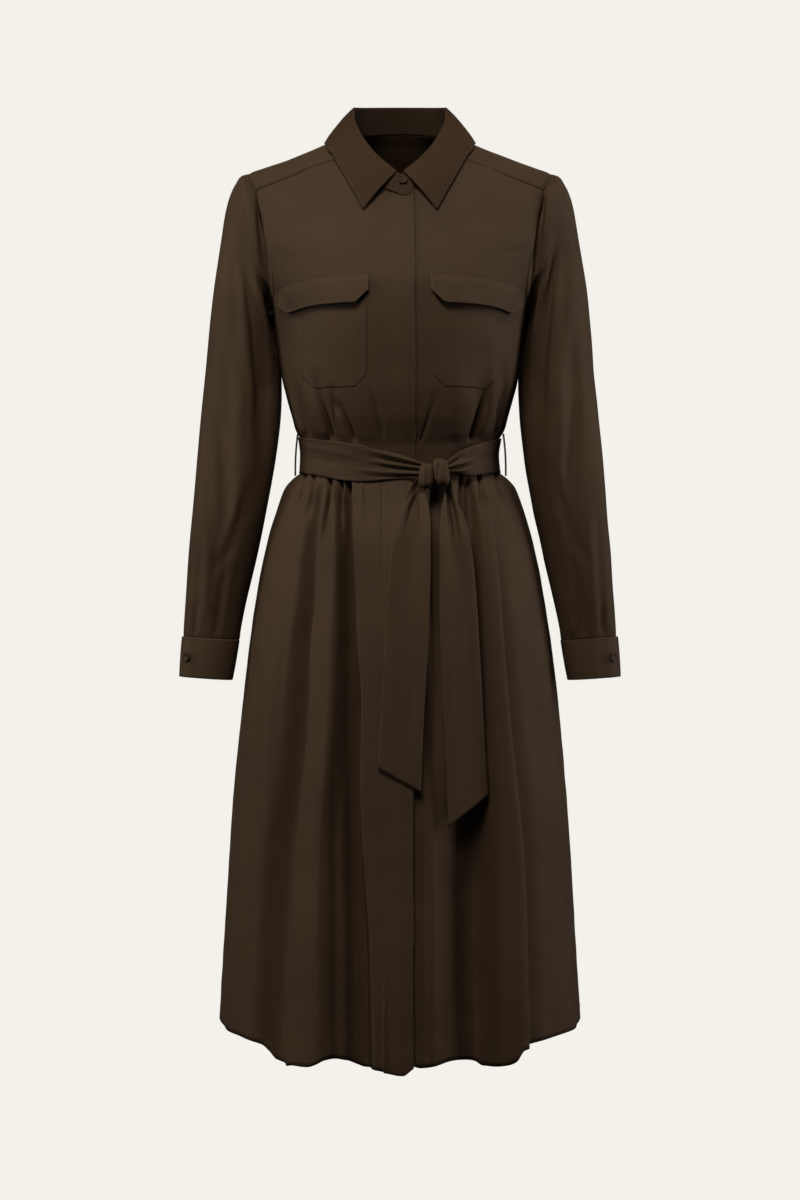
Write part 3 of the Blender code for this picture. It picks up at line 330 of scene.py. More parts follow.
crepe = dict(  # spacing of the threads, size of the pebbling and its depth are in metres
    colour="2e2216", light="37291b", roughness=0.75, specular=0.14, sheen=0.03, sheenTint="7a6248",
    yarn=0.00042, pebble=0.0011, depth=0.0001,
)


def newMaterial(name, roughness, specular):
    mat = bpy.data.materials.new(name)
    mat.use_nodes = True
    shader = mat.node_tree.nodes["Principled BSDF"]
    shader.inputs["Roughness"].default_value = roughness
    shader.inputs["Specular IOR Level"].default_value = specular
    return mat, mat.node_tree, shader


def crepeMaterial(name, values):
    # matt viscose crepe: fine plain weave with a pebbled face
    mat, tree, shader = newMaterial(name, values["roughness"], values["specular"])
    shader.inputs["Sheen Weight"].default_value = values["sheen"]
    shader.inputs["Sheen Roughness"].default_value = 0.45
    shader.inputs["Sheen Tint"].default_value = linear(values["sheenTint"])
    place = addNode(tree, "ShaderNodeTexCoord").outputs["UV"]
    body = addNode(tree, "ShaderNodeTexCoord").outputs["Object"]
    slow = addNode(tree, "ShaderNodeTexNoise", {"Scale": 9.0, "Detail": 3.0, "Roughness": 0.55},
                   {"Vector": body})
    mottle = addNode(tree, "ShaderNodeTexNoise", {"Scale": 260.0, "Detail": 2.0}, {"Vector": place})
    both = addNode(tree, "ShaderNodeMath", {"operation": "MULTIPLY_ADD", 1: 0.45},
                   {0: mottle.outputs["Fac"], 2: slow.outputs["Fac"]})
    ramp = addNode(tree, "ShaderNodeMapRange", {"From Min": 0.45, "From Max": 1.0},
                   {"Value": both.outputs[0]})
    mix = addNode(tree, "ShaderNodeMix", {"data_type": "RGBA"}, {"Factor": ramp.outputs["Result"]})
    colours = [socket for socket in mix.inputs if socket.type == "RGBA"]
    colours[0].default_value = linear(values["colour"])
    colours[1].default_value = linear(values["light"])
    colour = [socket for socket in mix.outputs if socket.type == "RGBA"][0]
    tree.links.new(colour, shader.inputs["Base Color"])
    height = None
    for direction, turned in (("X", 0), ("Y", 1)):
        wave = addNode(tree, "ShaderNodeTexWave", {
            "bands_direction": direction, "Scale": 0.314 / values["yarn"] / (1 + 0.06 * turned),
            "Distortion": 0.6, "Detail": 1.0, "Detail Scale": 2.0,
        }, {"Vector": place})
        height = wave if height is None else addNode(
            tree, "ShaderNodeMath", {"operation": "MULTIPLY"},
            {0: height.outputs["Fac"], 1: wave.outputs["Fac"]})
    pebble = addNode(tree, "ShaderNodeTexNoise", {"Scale": 0.8 / values["pebble"], "Detail": 2.0},
                     {"Vector": place})
    total = addNode(tree, "ShaderNodeMath", {"operation": "MULTIPLY_ADD", 1: 1.4},
                    {0: pebble.outputs["Fac"], 2: height.outputs[0]})
    relief = addNode(tree, "ShaderNodeBump", {"Strength": 0.55, "Distance": values["depth"]},
                     {"Height": total.outputs[0]})
    tree.links.new(relief.outputs["Normal"], shader.inputs["Normal"])
    return mat


def plainMaterial(name, colour, roughness, speckle):
    # an even surface with a slight change of tone
    mat, tree, shader = newMaterial(name, roughness, 0.12)
    body = addNode(tree, "ShaderNodeTexCoord").outputs["Object"]
    noise = addNode(tree, "ShaderNodeTexNoise", {"Scale": speckle, "Detail": 2.0}, {"Vector": body})
    ramp = addNode(tree, "ShaderNodeValToRGB", (), {"Fac": noise.outputs["Fac"]})
    dark, light = linear(colour), [min(1.0, c * 1.5) for c in linear(colour)[:3]] + [1.0]
    ramp.color_ramp.elements[0].color, ramp.color_ramp.elements[0].position = dark, 0.35
    ramp.color_ramp.elements[1].color, ramp.color_ramp.elements[1].position = light, 0.75
    tree.links.new(ramp.outputs["Color"], shader.inputs["Base Color"])
    return mat


crepeCloth = crepeMaterial("brown_viscose_crepe", crepe)
# interfaced cloth lies flatter; the collar and stand take a colour painted darker than the body's crepe,
# painted shade for the shade that falls on them
shadedCollarCrepe = crepeMaterial(
    "interfaced_crepe_painted_shade", dict(crepe, colour="281c12", light="312418", sheen=0.01, specular=0.08))
# the inner faces of the yoke and collar stand: duller, with no sheen, and coloured darker as painted shade
# for the shade inside the neck
insideShadeCrepe = crepeMaterial(
    "crepe_inside_painted_shade", dict(crepe, colour="1d140c", light="241a10", sheen=0.0, specular=0.05))
# spun polyester thread has a soft, dull shine
topThread = plainMaterial("light_brown_topstitching_thread", "4a3a2b", 0.5, 900.0)
sewingThread = plainMaterial("brown_polyester_thread", "362a1e", 0.55, 900.0)
# moulded resin, half matt, so that the rim catches a little light
buttonResin = plainMaterial("dark_brown_button_resin", "22150a", 0.5, 260.0)
print("materials made")


# Mesh pieces


def clothPiece(name, points, material=crepeCloth, closed=False, thickness=0.0, inside=None):
    rows, wide = points.shape[:2]
    index = np.arange(rows * wide).reshape(rows, wide)
    after = np.roll(index, -1, axis=1)
    if not closed:
        index, after = index[:, :-1], index[:, 1:]
    faces = np.stack([index[:-1], after[:-1], after[1:], index[1:]], axis=-1).reshape(-1, 4)
    mesh = bpy.data.meshes.new(name)
    mesh.vertices.add(rows * wide)
    mesh.vertices.foreach_set("co", points.reshape(-1))
    mesh.loops.add(faces.size)
    mesh.loops.foreach_set("vertex_index", faces.reshape(-1))
    mesh.polygons.add(len(faces))
    mesh.polygons.foreach_set("loop_start", np.arange(0, faces.size, 4))
    mesh.update(calc_edges=True)
    # UVs in metres of cloth, for the weave
    ring = np.concatenate([points, points[:, :1]], axis=1) if closed else points
    across = np.cumsum(np.linalg.norm(np.diff(ring, axis=1), axis=-1).mean(0))
    along = np.cumsum(np.linalg.norm(np.diff(points, axis=0), axis=-1).mean(1))
    u, v = np.concatenate([[0.0], across]), np.concatenate([[0.0], along])
    j, i = np.divmod(faces, wide)
    i = i.copy()
    if closed:
        seam = i.max(axis=1) - i.min(axis=1) > 1
        i[seam] = np.where(i[seam] == 0, wide, i[seam])
    layer = mesh.uv_layers.new(name="cloth")
    layer.uv.foreach_set("vector", np.stack([u[i], v[j]], axis=-1).reshape(-1))
    mesh.materials.append(material)
    mesh.shade_smooth()
    obj = addObject(name, mesh)
    if thickness:
        wall = obj.modifiers.new("Wall", "SOLIDIFY")
        wall.thickness = thickness
        wall.offset = -1.0
        wall.use_rim = True
        if inside:
            mesh.materials.append(inside)
            wall.material_offset = 1
    return obj


def surfaceOf(*grids):
    points, faces = [], []
    for grid in grids:
        rows, wide = grid.shape[:2]
        first = len(points)
        points += [Vector(point) for point in grid.reshape(-1, 3)]
        for j in range(rows - 1):
            for i in range(wide - 1):
                a = first + j * wide + i
                faces += [(a, a + 1, a + wide + 1), (a, a + wide + 1, a + wide)]
    return BVHTree.FromPolygons(points, faces)


def laidOn(tree, x, height, lift, limit=1.0):
    # the point in front of the cloth here, past the limit in the same line
    reach = math.copysign(min(abs(x), limit), x)
    place, normal, _, _ = tree.ray_cast(Vector((reach, -1.0, height)), Vector((0.0, 1.0, 0.0)))
    if normal.y > 0:
        normal = -normal
    slope = Vector((1.0, -normal.x / normal.y, 0.0))
    return place + slope * (x - reach) + normal * lift


def dress(obj, nodes):
    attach(obj, "root")
    if nodes:
        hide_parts(*nodes)
    return obj


# Bodice and yoke: edges as angle and height, or distance from the centre and height

frontNeck = [(0, -0.0815), (0.008, -0.08), (0.0135, -0.0755), (0.019, -0.0705), (0.03, -0.0635),
             (0.04, -0.058), (0.055, -0.041), (0.064, -0.02)]
# foot of the lapped end, which is also the top of the placket
lapFoot = [
    (-0.0195, -0.0705), (-0.0175, -0.0718), (-0.0085, -0.0758), (0, -0.0797), (0.006, -0.0812),
    (0.0105, -0.0803), (0.0145, -0.0762), (0.0168, -0.0715),
]
sideNeck = [(23.0, -0.02), (40.0, -0.01), (65.0, 0.0), (90.0, 0.006)]
backNeck = [(90.0, 0.006), (112.0, 0.011), (140.0, 0.016), (160.0, 0.019), (180.0, 0.02)]
yokeSeam = [(0.064, -0.02), (0.084, -0.0305), (0.1233, -0.0487), (0.155, -0.06), (0.178, -0.068)]
frontArmhole = [(64.2, -0.068), (61.5, -0.088), (61, -0.112), (62.5, -0.145),
                (64.5, -0.172), (70, -0.194), (79, -0.209), (90, -0.215)]
tipToFront = [(90.0, -0.04), (82.0, -0.044), (73.0, -0.053), (64.2, -0.068)]
tipToBack = [(90.0, -0.04), (99.0, -0.046), (108.0, -0.063), (115.5, -0.095)]
backArmhole = [(115.5, -0.095), (117.5, -0.125), (116, -0.16), (109, -0.193), (100, -0.209),
               (90, -0.215)]
backSeamHeight = -0.095
placketLeft, placketRight, frontEdge = 0.0175, -0.0195, 0.0175
neckCells, seamCells, waistCells, sideCells, armholeCells = 54, 96, 22, 38, 46
backCells, yokeBackCells, tipFrontCells, tipBackCells = 110, 44, 14, 20


def evenly(cells):
    return np.linspace(0, 1, cells + 1)


def fromWaist(low, high, cells):
    # rows close together where the cloth bells out over the belt
    near = low + np.linspace(0, 0.046, waistCells + 1)
    return np.concatenate([near[:-1], np.linspace(near[-1], high, cells - waistCells + 1)])


def bodiceFront(edge):
    seam = seamGap / 2
    across = 90.0 - math.degrees(seam / 0.15)
    topHeight = float(eased(frontNeck, 1, max(edge, 0.0)))
    heights = fromWaist(waistHeight(0.0) + seam, topHeight, waistCells + sideCells + armholeCells)
    start = np.stack([angleOf(edge, heights), heights], axis=1)
    neck = [(edge, topHeight)] + [p for p in frontNeck if p[0] > max(edge, 0.0) + 0.004]
    top = np.concatenate([
        curveAt(frontCurve(neck), evenly(neckCells), True),
        curveAt(frontCurve(yokeSeam), evenly(seamCells), True)[1:],
    ])
    top[neckCells:, 1] -= seam
    armhole = curveAt(frontArmhole[::-1], evenly(armholeCells), True)
    side = fromWaist(waist + seam, armhole[0][1], waistCells + sideCells)
    end = np.concatenate([np.stack([np.full(len(side), across), side], axis=1)[:-1], armhole])
    end[waistCells + sideCells, 0] = across
    end[-1] = top[-1]
    angles = np.linspace(start[0][0], across, neckCells + seamCells + 1)
    bottom = np.stack([angles, waistHeight(angles) + seam], axis=1)
    return patch(bottom, top, start, end)


def bodiceBack():
    seam = seamGap / 2
    across = 90.0 + math.degrees(seam / 0.15)
    armhole = curveAt(backArmhole[::-1], evenly(armholeCells), True)
    armhole[0, 0] = across
    armhole[-1, 1] -= seam
    side = fromWaist(waist + seam, armhole[0][1], waistCells + sideCells)
    start = np.concatenate([np.stack([np.full(len(side), across), side], axis=1)[:-1], armhole])
    end = start * (-1, 1) + (360.0, 0)
    low = np.linspace(across, 360 - across, backCells + 1)
    high = np.linspace(start[-1][0], 360 - start[-1][0], backCells + 1)
    bottom = np.stack([low, np.full(len(low), waist + seam)], axis=1)
    top = np.stack([high, np.full(len(high), backSeamHeight - seam)], axis=1)
    return patch(bottom, top, start, end)


def yokeGrid():
    seam = seamGap / 2
    angles = np.linspace(180.0, backArmhole[0][0], yokeBackCells + 1)
    outer = np.concatenate([
        np.stack([angles, np.full(len(angles), backSeamHeight + seam)], axis=1),
        curveAt(tipToBack[::-1], evenly(tipBackCells), True)[1:],
        curveAt(tipToFront, evenly(tipFrontCells), True)[1:],
    ])
    inner = np.concatenate([
        curveAt(backNeck[::-1], evenly(yokeBackCells + tipBackCells), True),
        curveAt(sideNeck[::-1], evenly(tipFrontCells), True)[1:],
    ])
    front = curveAt(frontCurve(yokeSeam), evenly(seamCells), True)[::-1] + (0, seam)
    inner[-1], outer[-1] = front[-1], front[0]
    centre = np.linspace(outer[0], inner[0], seamCells + 1)
    left = patch(outer, inner, centre, front, fade=5)[:, ::-1]
    right = left[:, ::-1] * (-1, 1) + (360.0, 0)
    return np.concatenate([left, right[:, 1:]], axis=1)


# gathers above the belt and drag lines, rows of height, x, left width, right width, rise (mm)
bodiceUpright = [
    [(-382, -82, 4, 8, -7), (-350, -88, 4.5, 9, -6.5), (-322, -94, 7, 11, -3.6), (-290, -99, 10, 13, 0)],
    [(-384, -55, 4, 7, -6.5), (-352, -64, 4.5, 8, -5.5), (-326, -76, 8, 10, 0)],
    [(-376, -21, 4, 5, -1.6), (-345, -27, 5, 8, -2.2), (-306, -36, 8, 10, 0)],
    [(-384, -110, 4, 7, -5), (-350, -116, 6, 9, -4), (-288, -124, 10, 11, 0)],
    [(-378, -70, 7, 6, 0.8), (-330, -82, 10, 9, 1.6), (-280, -82, 12, 10, 0)],
    [(-384, 24, 4, 4, -3.6), (-352, 33, 5, 6, -3), (-318, 42, 8, 9, 0)],
    [(-396, 84, 2.5, 3.5, -4.5), (-380, 86, 5, 4.5, -8), (-354, 92, 11, 7, -9.5), (-330, 95, 15, 11, -5.6),
     (-296, 97, 18, 14, -1.8), (-262, 98, 20, 16, 0)],
    [(-388, 113.5, 2.5, 3, -4), (-373, 115, 4, 4, -6.5), (-345, 120, 9, 5, -8.5), (-318, 124, 12, 7, -6.5),
     (-280, 126, 12, 9, 0)],
    [(-376, 66, 8, 8, 1), (-320, 68, 10, 10, 1.4), (-266, 70, 10, 10, 0)],
    [(-380, 99, 6, 6, 1.4), (-340, 106, 7, 7, 2.4), (-300, 109, 8, 8, 1.6), (-270, 112, 9, 9, 0)],
]
# the cloth blouses a little over the sash: height, fullness
fullness = [
    (-0.4, 0.0), (-0.382, 0.001), (-0.348, 0.0092), (-0.324, 0.0104), (-0.275, 0.0062), (-0.205, 0.0),
]
# narrow trough along the free edge of the placket
edgeTrough = [[(-1116, 16, 1.5, 4, -1.2), (-700, 18, 1.5, 4, -1.5), (-430, 18.5, 1.5, 3.5, -1.2),
               (-300, 18.8, 1.5, 3.5, -1), (-120, 18.8, 1.5, 3.5, -1), (-95, 18.8, 1.5, 3, 0)]]
bodiceLines = [
    [(-150, -196, 10, -1.6), (-120, -232, 14, -1.8), (-108, -262, 12, 0)],
    [(150, -198, 10, -1.6), (122, -236, 14, -1.6), (112, -268, 12, 0)],
    [(-152, -150, 7, -0.8), (-132, -158, 10, -0.9), (-108, -164, 10, 0)],
    [(152, -146, 7, -0.8), (130, -152, 10, -0.9), (106, -160, 10, 0)],
    [(-96, -92, 12, 0.4), (-74, -128, 16, 0.5), (-62, -160, 14, 0)],
]
backUpright = [
    [(-388, -92, 7, 7, -2.4), (-320, -90, 10, 10, -2.2), (-230, -88, 12, 12, 0)],
    [(-388, -56, 7, 7, 1.8), (-310, -52, 10, 10, 1.6), (-240, -50, 10, 10, 0)],
    [(-390, -22, 6, 8, -2), (-330, -20, 10, 10, -1.8), (-250, -22, 12, 12, 0)],
    [(-390, 12, 7, 7, 1.4), (-330, 10, 9, 10, 1.6), (-262, 8, 10, 10, 0)],
    [(-388, 44, 7, 6, -2.4), (-310, 46, 10, 12, -2), (-222, 50, 12, 12, 0)],
    [(-388, 86, 7, 7, 1.6), (-320, 88, 10, 10, 1.8), (-246, 92, 10, 10, 0)],
]
backLines = [
    [(-168, -188, 10, -1.6), (-128, -206, 14, -1.4), (-92, -214, 12, 0)],
    [(166, -182, 10, -1.4), (130, -204, 14, -1.5), (88, -216, 12, 0)],
    [(-174, -120, 8, -0.8), (-136, -128, 12, -0.8), (-100, -126, 10, 0)],
    [(172, -132, 8, -0.8), (140, -138, 12, -0.7), (104, -132, 10, 0)],
]


seams = dict(sink=0.0004, fold=0.0009, short=0.0018, deep=0.004, under=0.0028, reach=0.004)


def seamed(points, sides, lapped=(), short=()):
    # the listed edges sink a little and turn in, as the cloth does at a seam; a lapped one reaches under the
    # next panel, whose own edge turns in a shorter way
    sunk = np.zeros(points.shape[:2])
    edges = {"left": np.s_[:, 0], "right": np.s_[:, -1], "low": np.s_[0, :], "high": np.s_[-1, :]}
    beside = {"left": np.s_[:, 1], "right": np.s_[:, -2], "low": np.s_[1, :], "high": np.s_[-2, :]}
    for side in sides:
        sunk[edges[side]] = seams["sink"]
    points = moved(points, -sunk)
    for side in sides:
        turns = [(seams["fold"], 0.0), (seams["short"] if side in short else seams["deep"], 0.0)]
        if side in lapped:
            turns = [(seams["fold"], 0.0), (seams["under"] - 0.0004, 0.0), (seams["under"], seams["reach"])]
        normal, edge = gridNormals(points)[edges[side]], points[edges[side]]
        onwards = unit(edge - points[beside[side]])
        axis = 1 if side in ("left", "right") else 0
        turned = [np.expand_dims(edge - normal * depth + onwards * past, axis) for depth, past in turns]
        if side in ("left", "low"):
            points = np.concatenate(turned[::-1] + [points], axis=axis)
        else:
            points = np.concatenate([points] + turned, axis=axis)
    return points


leftGrid = bodiceFront(-frontEdge + seamGap)
rightGrid = mirrored(bodiceFront(frontEdge))
backGrid, yokePanel = bodiceBack(), yokeGrid()


def bodicePoints(grid, front):
    points = bodyPoint(grid)
    if front:
        field = uprightFolds(points, bodiceUpright) + creases(points, bodiceLines)
        if grid[:, 0, 0].mean() < 0 < grid[:, -1, 0].mean():
            field += uprightFolds(points, edgeTrough)
        field += eased(fullness, 1, points[..., 2]) * smooth((80.0 - np.abs(grid[..., 0])) / 40.0)
    else:
        field = uprightFolds(points, backUpright, False) + creases(points, backLines, False)
    away = np.abs(points[..., 2] - waistHeight(grid[..., 0]))
    field *= smooth((away - beltZone) / 0.012)
    return moved(points, field)


bodySeed = 5
leftPoints, rightPoints = (drape(bodicePoints(grid, True), bodySeed) for grid in (leftGrid, rightGrid))
backPoints = drape(bodicePoints(backGrid, False), bodySeed)
yokePoints = drape(bodyPoint(yokePanel), bodySeed)


def armLoop(mirror):
    # the armhole from the shoulder's tip down the front and up the back, as on the wearer's left
    low = waistCells + sideCells
    front = leftPoints[:, -1] if mirror > 0 else rightPoints[:, 0]
    back = backPoints[:, 0] if mirror > 0 else backPoints[:, -1]
    over = yokePoints[0] if mirror > 0 else yokePoints[0][::-1]
    tip = tipFrontCells + tipBackCells
    loop = [over[tipFrontCells:0:-1], front[:low:-1], back[low:-1], over[tip:tipFrontCells:-1]]
    return np.concatenate(loop) * (mirror, 1, 1)


neckLeft, neckRight = leftPoints[-1][:neckCells + 1], rightPoints[-1][-neckCells - 1:]
neckline = np.concatenate([neckLeft[:-1], yokePoints[-1], neckRight[1:]])

bodiceLeft = clothPiece("bodice_left", seamed(leftPoints, ("right", "high")))
bodiceRight = clothPiece("bodice_right", seamed(rightPoints, ("left", "high")))
bodiceRear = clothPiece("bodice_rear", seamed(backPoints, ("left", "right", "high"), lapped=("high",)))
yokeSewn = seamed(yokePoints, ("left", "right", "low"), short=("low",))
# the yoke's inner face takes the painted shade of the inside of the neck
shoulderYoke = clothPiece("shoulder_yoke", yokeSewn, thickness=0.0006, inside=insideShadeCrepe)
dress(bodiceLeft, ["bodice_front_left"])
dress(bodiceRight, ["bodice_front_right"])
dress(bodiceRear, ["bodice_back"])
dress(shoulderYoke, ["yoke"])
print("bodice made")

# Sleeves and cuffs

sleeveSections = [  # outer x, outer z, inner x, inner z, half depth, forward
    (0.2, -0.048, 0.158, -0.2178, 0.054, -0.004), (0.2105, -0.061, 0.1566, -0.2215, 0.056, -0.011),
    (0.2185, -0.084, 0.1554, -0.228, 0.058, -0.016), (0.225, -0.122, 0.1541, -0.242, 0.059, -0.017),
    (0.2315, -0.168, 0.1529, -0.26, 0.059, -0.015), (0.2375, -0.222, 0.1499, -0.284, 0.058, -0.015),
    (0.2425, -0.28, 0.1489, -0.318, 0.056, -0.011), (0.248, -0.34, 0.1502, -0.356, 0.053, -0.004),
    (0.253, -0.4, 0.1558, -0.404, 0.049, 0.005), (0.257, -0.46, 0.1655, -0.459, 0.044, 0.013),
    (0.262, -0.52, 0.178, -0.516, 0.038, 0.018), (0.2655, -0.575, 0.1905, -0.572, 0.0325, 0.022),
    (0.2672, -0.605, 0.197, -0.606, 0.0295, 0.0235), (0.2675, -0.6165, 0.1988, -0.6205, 0.0275, 0.024),
]
sleeveFolds = [  # turn, from section, to section, end turn, width, rise
    (62, 1, 9, 82, 24, -0.0045), (100, 2, 12, 108, 26, 0.004),
    (138, 3, 9, 140, 24, -0.004), (30, 6, 13, 48, 24, 0.003),
    (245, 2, 12, 255, 28, -0.0045), (285, 3, 13, 280, 26, 0.004),
]
sleeveShape = dict(squareness=0.84, creases=2.4, cuffEase=1.9, head=0.0022, waves=0.0009)
cuffShape = dict(  # its ends as sections, then the lap and its free end in degrees
    top=(0.268, -0.617, 0.1985, -0.6215, 0.028, 0.024),
    bottom=(0.2705, -0.6665, 0.2065, -0.671, 0.0275, 0.032),
    lap=26.0, freeEnd=12.0, fade=26.0, rise=0.002, bulge=0.0004, thickness=0.0011,
)


def sectionPoints(section, turns, lift=0.0):
    outX, outZ, inX, inZ, depth, forward = section
    half = np.array([(outX - inX) / 2, 0, (outZ - inZ) / 2])
    centre = np.array([(outX + inX) / 2, -forward, (outZ + inZ) / 2])
    turns, lift = np.radians(np.asarray(turns))[:, None], np.broadcast_to(lift, np.shape(turns))[:, None]
    across = half * np.cos(turns) * (1 + lift / np.linalg.norm(half))
    deep = (depth + lift) * signedPower(np.sin(turns), sleeveShape["squareness"])
    return centre + across - np.array([0, 1, 0]) * deep


def sleevePoints(mirror, folds, lines, backLines):
    loop = armLoop(mirror)
    steps = np.linalg.norm(np.roll(loop, -1, axis=0) - loop, axis=1)
    under = tipFrontCells + armholeCells
    front, back = steps[:under].sum(), steps[under:].sum()
    walked = np.concatenate([[0.0], np.cumsum(steps)[:-1]])
    turns = np.where(walked <= front, 180 * walked / front, 180 + 180 * (walked - front) / back)
    strays = loop - sectionPoints(sleeveSections[0], turns)
    rows = [loop]
    across, up = loop[:, 1] - loop[:, 1].mean(), loop[:, 2] - loop[:, 2].mean()
    inside = -unit(np.stack([np.zeros(len(loop)), across, up], axis=1))
    for k, section in enumerate(sleeveSections):
        fade = max(0.0, 1 - (k + 1) / 4) ** 1.5
        rows.append(sectionPoints(section, turns) + strays * (0, fade, 0))
    points = refine(rows, 11)
    place = np.linspace(-1, len(sleeveSections) - 1, len(points))[:, None]
    field = np.zeros(points.shape[:2])
    for start, first, last, stop, width, rise in folds:
        along = np.clip((place - first) / (last - first), 0, 1)
        away = (turns - start - (stop - start) * along + 180.0) % 360.0 - 180.0
        field += rise * np.sin(np.pi * along) * bump(away / width)
    # the head is eased into the armhole and stands a little over it
    field += sleeveShape["head"] * bump((place + 0.35) / 0.9) * smooth(np.cos(np.radians(turns)) * 1.5 + 0.4)
    points = moved(points, field, True)
    # shallower where the cuff holds them
    held = sleeveShape["creases"] - sleeveShape["cuffEase"] * smooth(place - 12.0)
    points = moved(points, held * (creases(points, lines) + creases(points, backLines, False)), True)
    waves = drape(points, 11 if mirror > 0 else 12, sleeveShape["waves"], True) - points
    points = points + waves * smooth((place + 1) / 0.6)[..., None]
    # the seam allowance turns into the armhole
    turned = [points[0] + inside * 0.005 - (0.002, 0, 0), points[0] + inside * 0.001 - (0.0012, 0, 0)]
    # and its lower edge goes into the cuff
    axis = points[-1].mean(axis=0)
    wrist = [points[-1] + (axis - points[-1]) * share - (0, 0, drop)
             for share, drop in ((0.035, 0.0012), (0.06, 0.01))]
    return np.concatenate([np.array(turned), points, np.array(wrist)])


# sleeve creases on the wearer's left, x and height in mm
leftSleeveLines = [
    [(176, -75, 5, -1.6), (170, -128, 8, -3.2), (166, -180, 9, -3.4), (160, -232, 9, -2), (158, -262, 9, 0)],
    [(197, -108, 6, 0), (188, -165, 9, -2.4), (178, -228, 12, -3.4), (172, -300, 13, -3),
     (176, -380, 13, 0)],
    [(186, -120, 7, 0), (178, -175, 8, 1.8), (166, -240, 8, 2), (160, -300, 8, 0)],
    [(212, -150, 10, 0), (206, -230, 14, 1.8), (196, -320, 14, 2.2), (200, -400, 12, 0)],
    [(222, -280, 10, 0), (214, -350, 14, -1.8), (208, -430, 15, -2), (214, -500, 12, 0)],
    [(186, -400, 9, 0), (196, -450, 12, -2), (212, -500, 13, -1.6), (232, -532, 10, 0)],
    [(236, -430, 10, 0), (232, -500, 12, 1.6), (236, -570, 11, 1.2), (240, -604, 9, 0)],
    [(206, -500, 9, 0), (216, -545, 10, -1.6), (224, -590, 9, -1.8), (226, -618, 7, -1)],
    [(246, -560, 7, 0), (248, -592, 7, -1.4), (250, -618, 6, -1.2)],
    [(210, -586, 5, 0), (212, -604, 5, 1), (213, -618, 5, 1)],
]
rightSleeveLines = [
    [(174, -72, 5, -1.6), (169, -124, 8, -3), (165, -184, 9, -3.6), (158, -240, 9, -2.2), (156, -268, 9, 0)],
    [(198, -116, 6, 0), (190, -172, 10, -2.6), (178, -240, 13, -3.4), (170, -312, 13, -3.2),
     (174, -402, 13, 0)],
    [(184, -126, 7, 0), (176, -182, 8, 1.8), (164, -246, 8, 2), (158, -306, 8, 0)],
    [(214, -160, 10, 0), (208, -242, 14, 1.8), (198, -334, 14, 2.2), (202, -420, 12, 0)],
    [(228, -300, 10, 0), (220, -372, 14, -1.6), (212, -452, 15, -2), (216, -520, 12, 0)],
    [(184, -420, 9, 0), (194, -470, 12, -1.8), (208, -512, 13, -1.8), (230, -540, 10, 0)],
    [(240, -440, 10, 0), (236, -512, 12, 1.6), (238, -578, 11, 1.2), (242, -606, 9, 0)],
    [(208, -512, 9, 0), (217, -552, 10, -1.6), (223, -594, 9, -1.8), (225, -618, 7, -1)],
    [(250, -566, 7, 0), (251, -596, 7, -1.2), (252, -618, 6, -1)],
]
rearSleeveLines = [
    [(182, -90, 7, -1.4), (176, -150, 10, -3), (168, -214, 10, -2.6), (162, -262, 9, 0)],
    [(204, -130, 9, 0), (196, -200, 13, -2.6), (186, -280, 14, -3), (184, -360, 13, 0)],
    [(222, -230, 10, 0), (214, -310, 13, 2), (206, -400, 13, 2), (212, -480, 11, 0)],
    [(190, -390, 9, 0), (204, -432, 11, -2.2), (226, -462, 12, -2), (246, -480, 9, 0)],
    [(204, -520, 9, 0), (214, -560, 10, -1.6), (222, -600, 8, -1.8), (224, -618, 7, -1)],
]
sleeveLeftPoints = sleevePoints(1, sleeveFolds, leftSleeveLines, rearSleeveLines)
sleeveRightPoints = sleevePoints(-1, sleeveFolds, rightSleeveLines, rearSleeveLines) * (-1, 1, 1)
sleeveLeft = clothPiece("sleeve_left_cloth", sleeveLeftPoints, closed=True)
sleeveRight = clothPiece("sleeve_right_cloth", sleeveRightPoints[::-1], closed=True)
for obj, node in ((sleeveLeft, "sleeve_left"), (sleeveRight, "sleeve_right")):
    dress(obj, [node])


def cuffPoints(mirror):
    lap, freeEnd = cuffShape["lap"], cuffShape["freeEnd"]
    turns = np.linspace(freeEnd, freeEnd + 360.0 + lap, 200)
    rise = (1 - smooth((turns - freeEnd - lap - 8.0) / cuffShape["fade"])) * cuffShape["rise"]
    rows = []
    for t in np.linspace(0, 1, 30):
        section = np.array(cuffShape["top"]) * (1 - t) + np.array(cuffShape["bottom"]) * t
        edge = -0.0008 * (t < 0.02) - 0.0003 * (t > 0.98)
        bulge = cuffShape["bulge"] * math.sin(math.pi * t)
        rows.append(sectionPoints(section, turns, rise + edge + bulge) * (mirror, 1, 1))
    return np.array(rows)


cuffRows = {side: cuffPoints(mirror) for side, mirror in (("left", 1), ("right", -1))}
for side, rows in cuffRows.items():
    points = rows if side == "left" else rows[::-1]
    cuff = clothPiece(f"cuff_{side}_cloth", points, thickness=cuffShape["thickness"])
    dress(cuff, [f"cuff_{side}"])
print("sleeves made")

# Collar

rollBack = [(0.0, 0.048, 0.0535), (0.026, 0.046, 0.053), (0.046, 0.036, 0.0505), (0.0595, 0.014, 0.0455)]
rollFront = [(0.0595, 0.014, 0.0455), (0.0575, -0.006, 0.024), (0.045, -0.03, -0.0045),
             (0.027, -0.048, -0.0285), (0.0045, -0.06, -0.049)]
leafBack = [(180.0, 0.01), (155.0, 0.0085), (130.0, 0.005), (108.0, 0.0005), (90.0, -0.002)]
leafSide = [(90.0, -0.002), (60.0, -0.0075), (35.0, -0.02)]
leafTip = [(0.0854 - 0.0409 * t, -0.02 - 0.08 * t) for t in np.linspace(0.12, 1, 12)]
collarShape = dict(
    cells=56, rows=26, bulge=0.003, lift=0.004, rollWidth=0.0011, rollHeight=0.0016, rollSink=0.0006,
    lapForward=0.0026, lapLift=0.003, tab=(0.0185, -0.0012, -0.007), thickness=0.001,
)


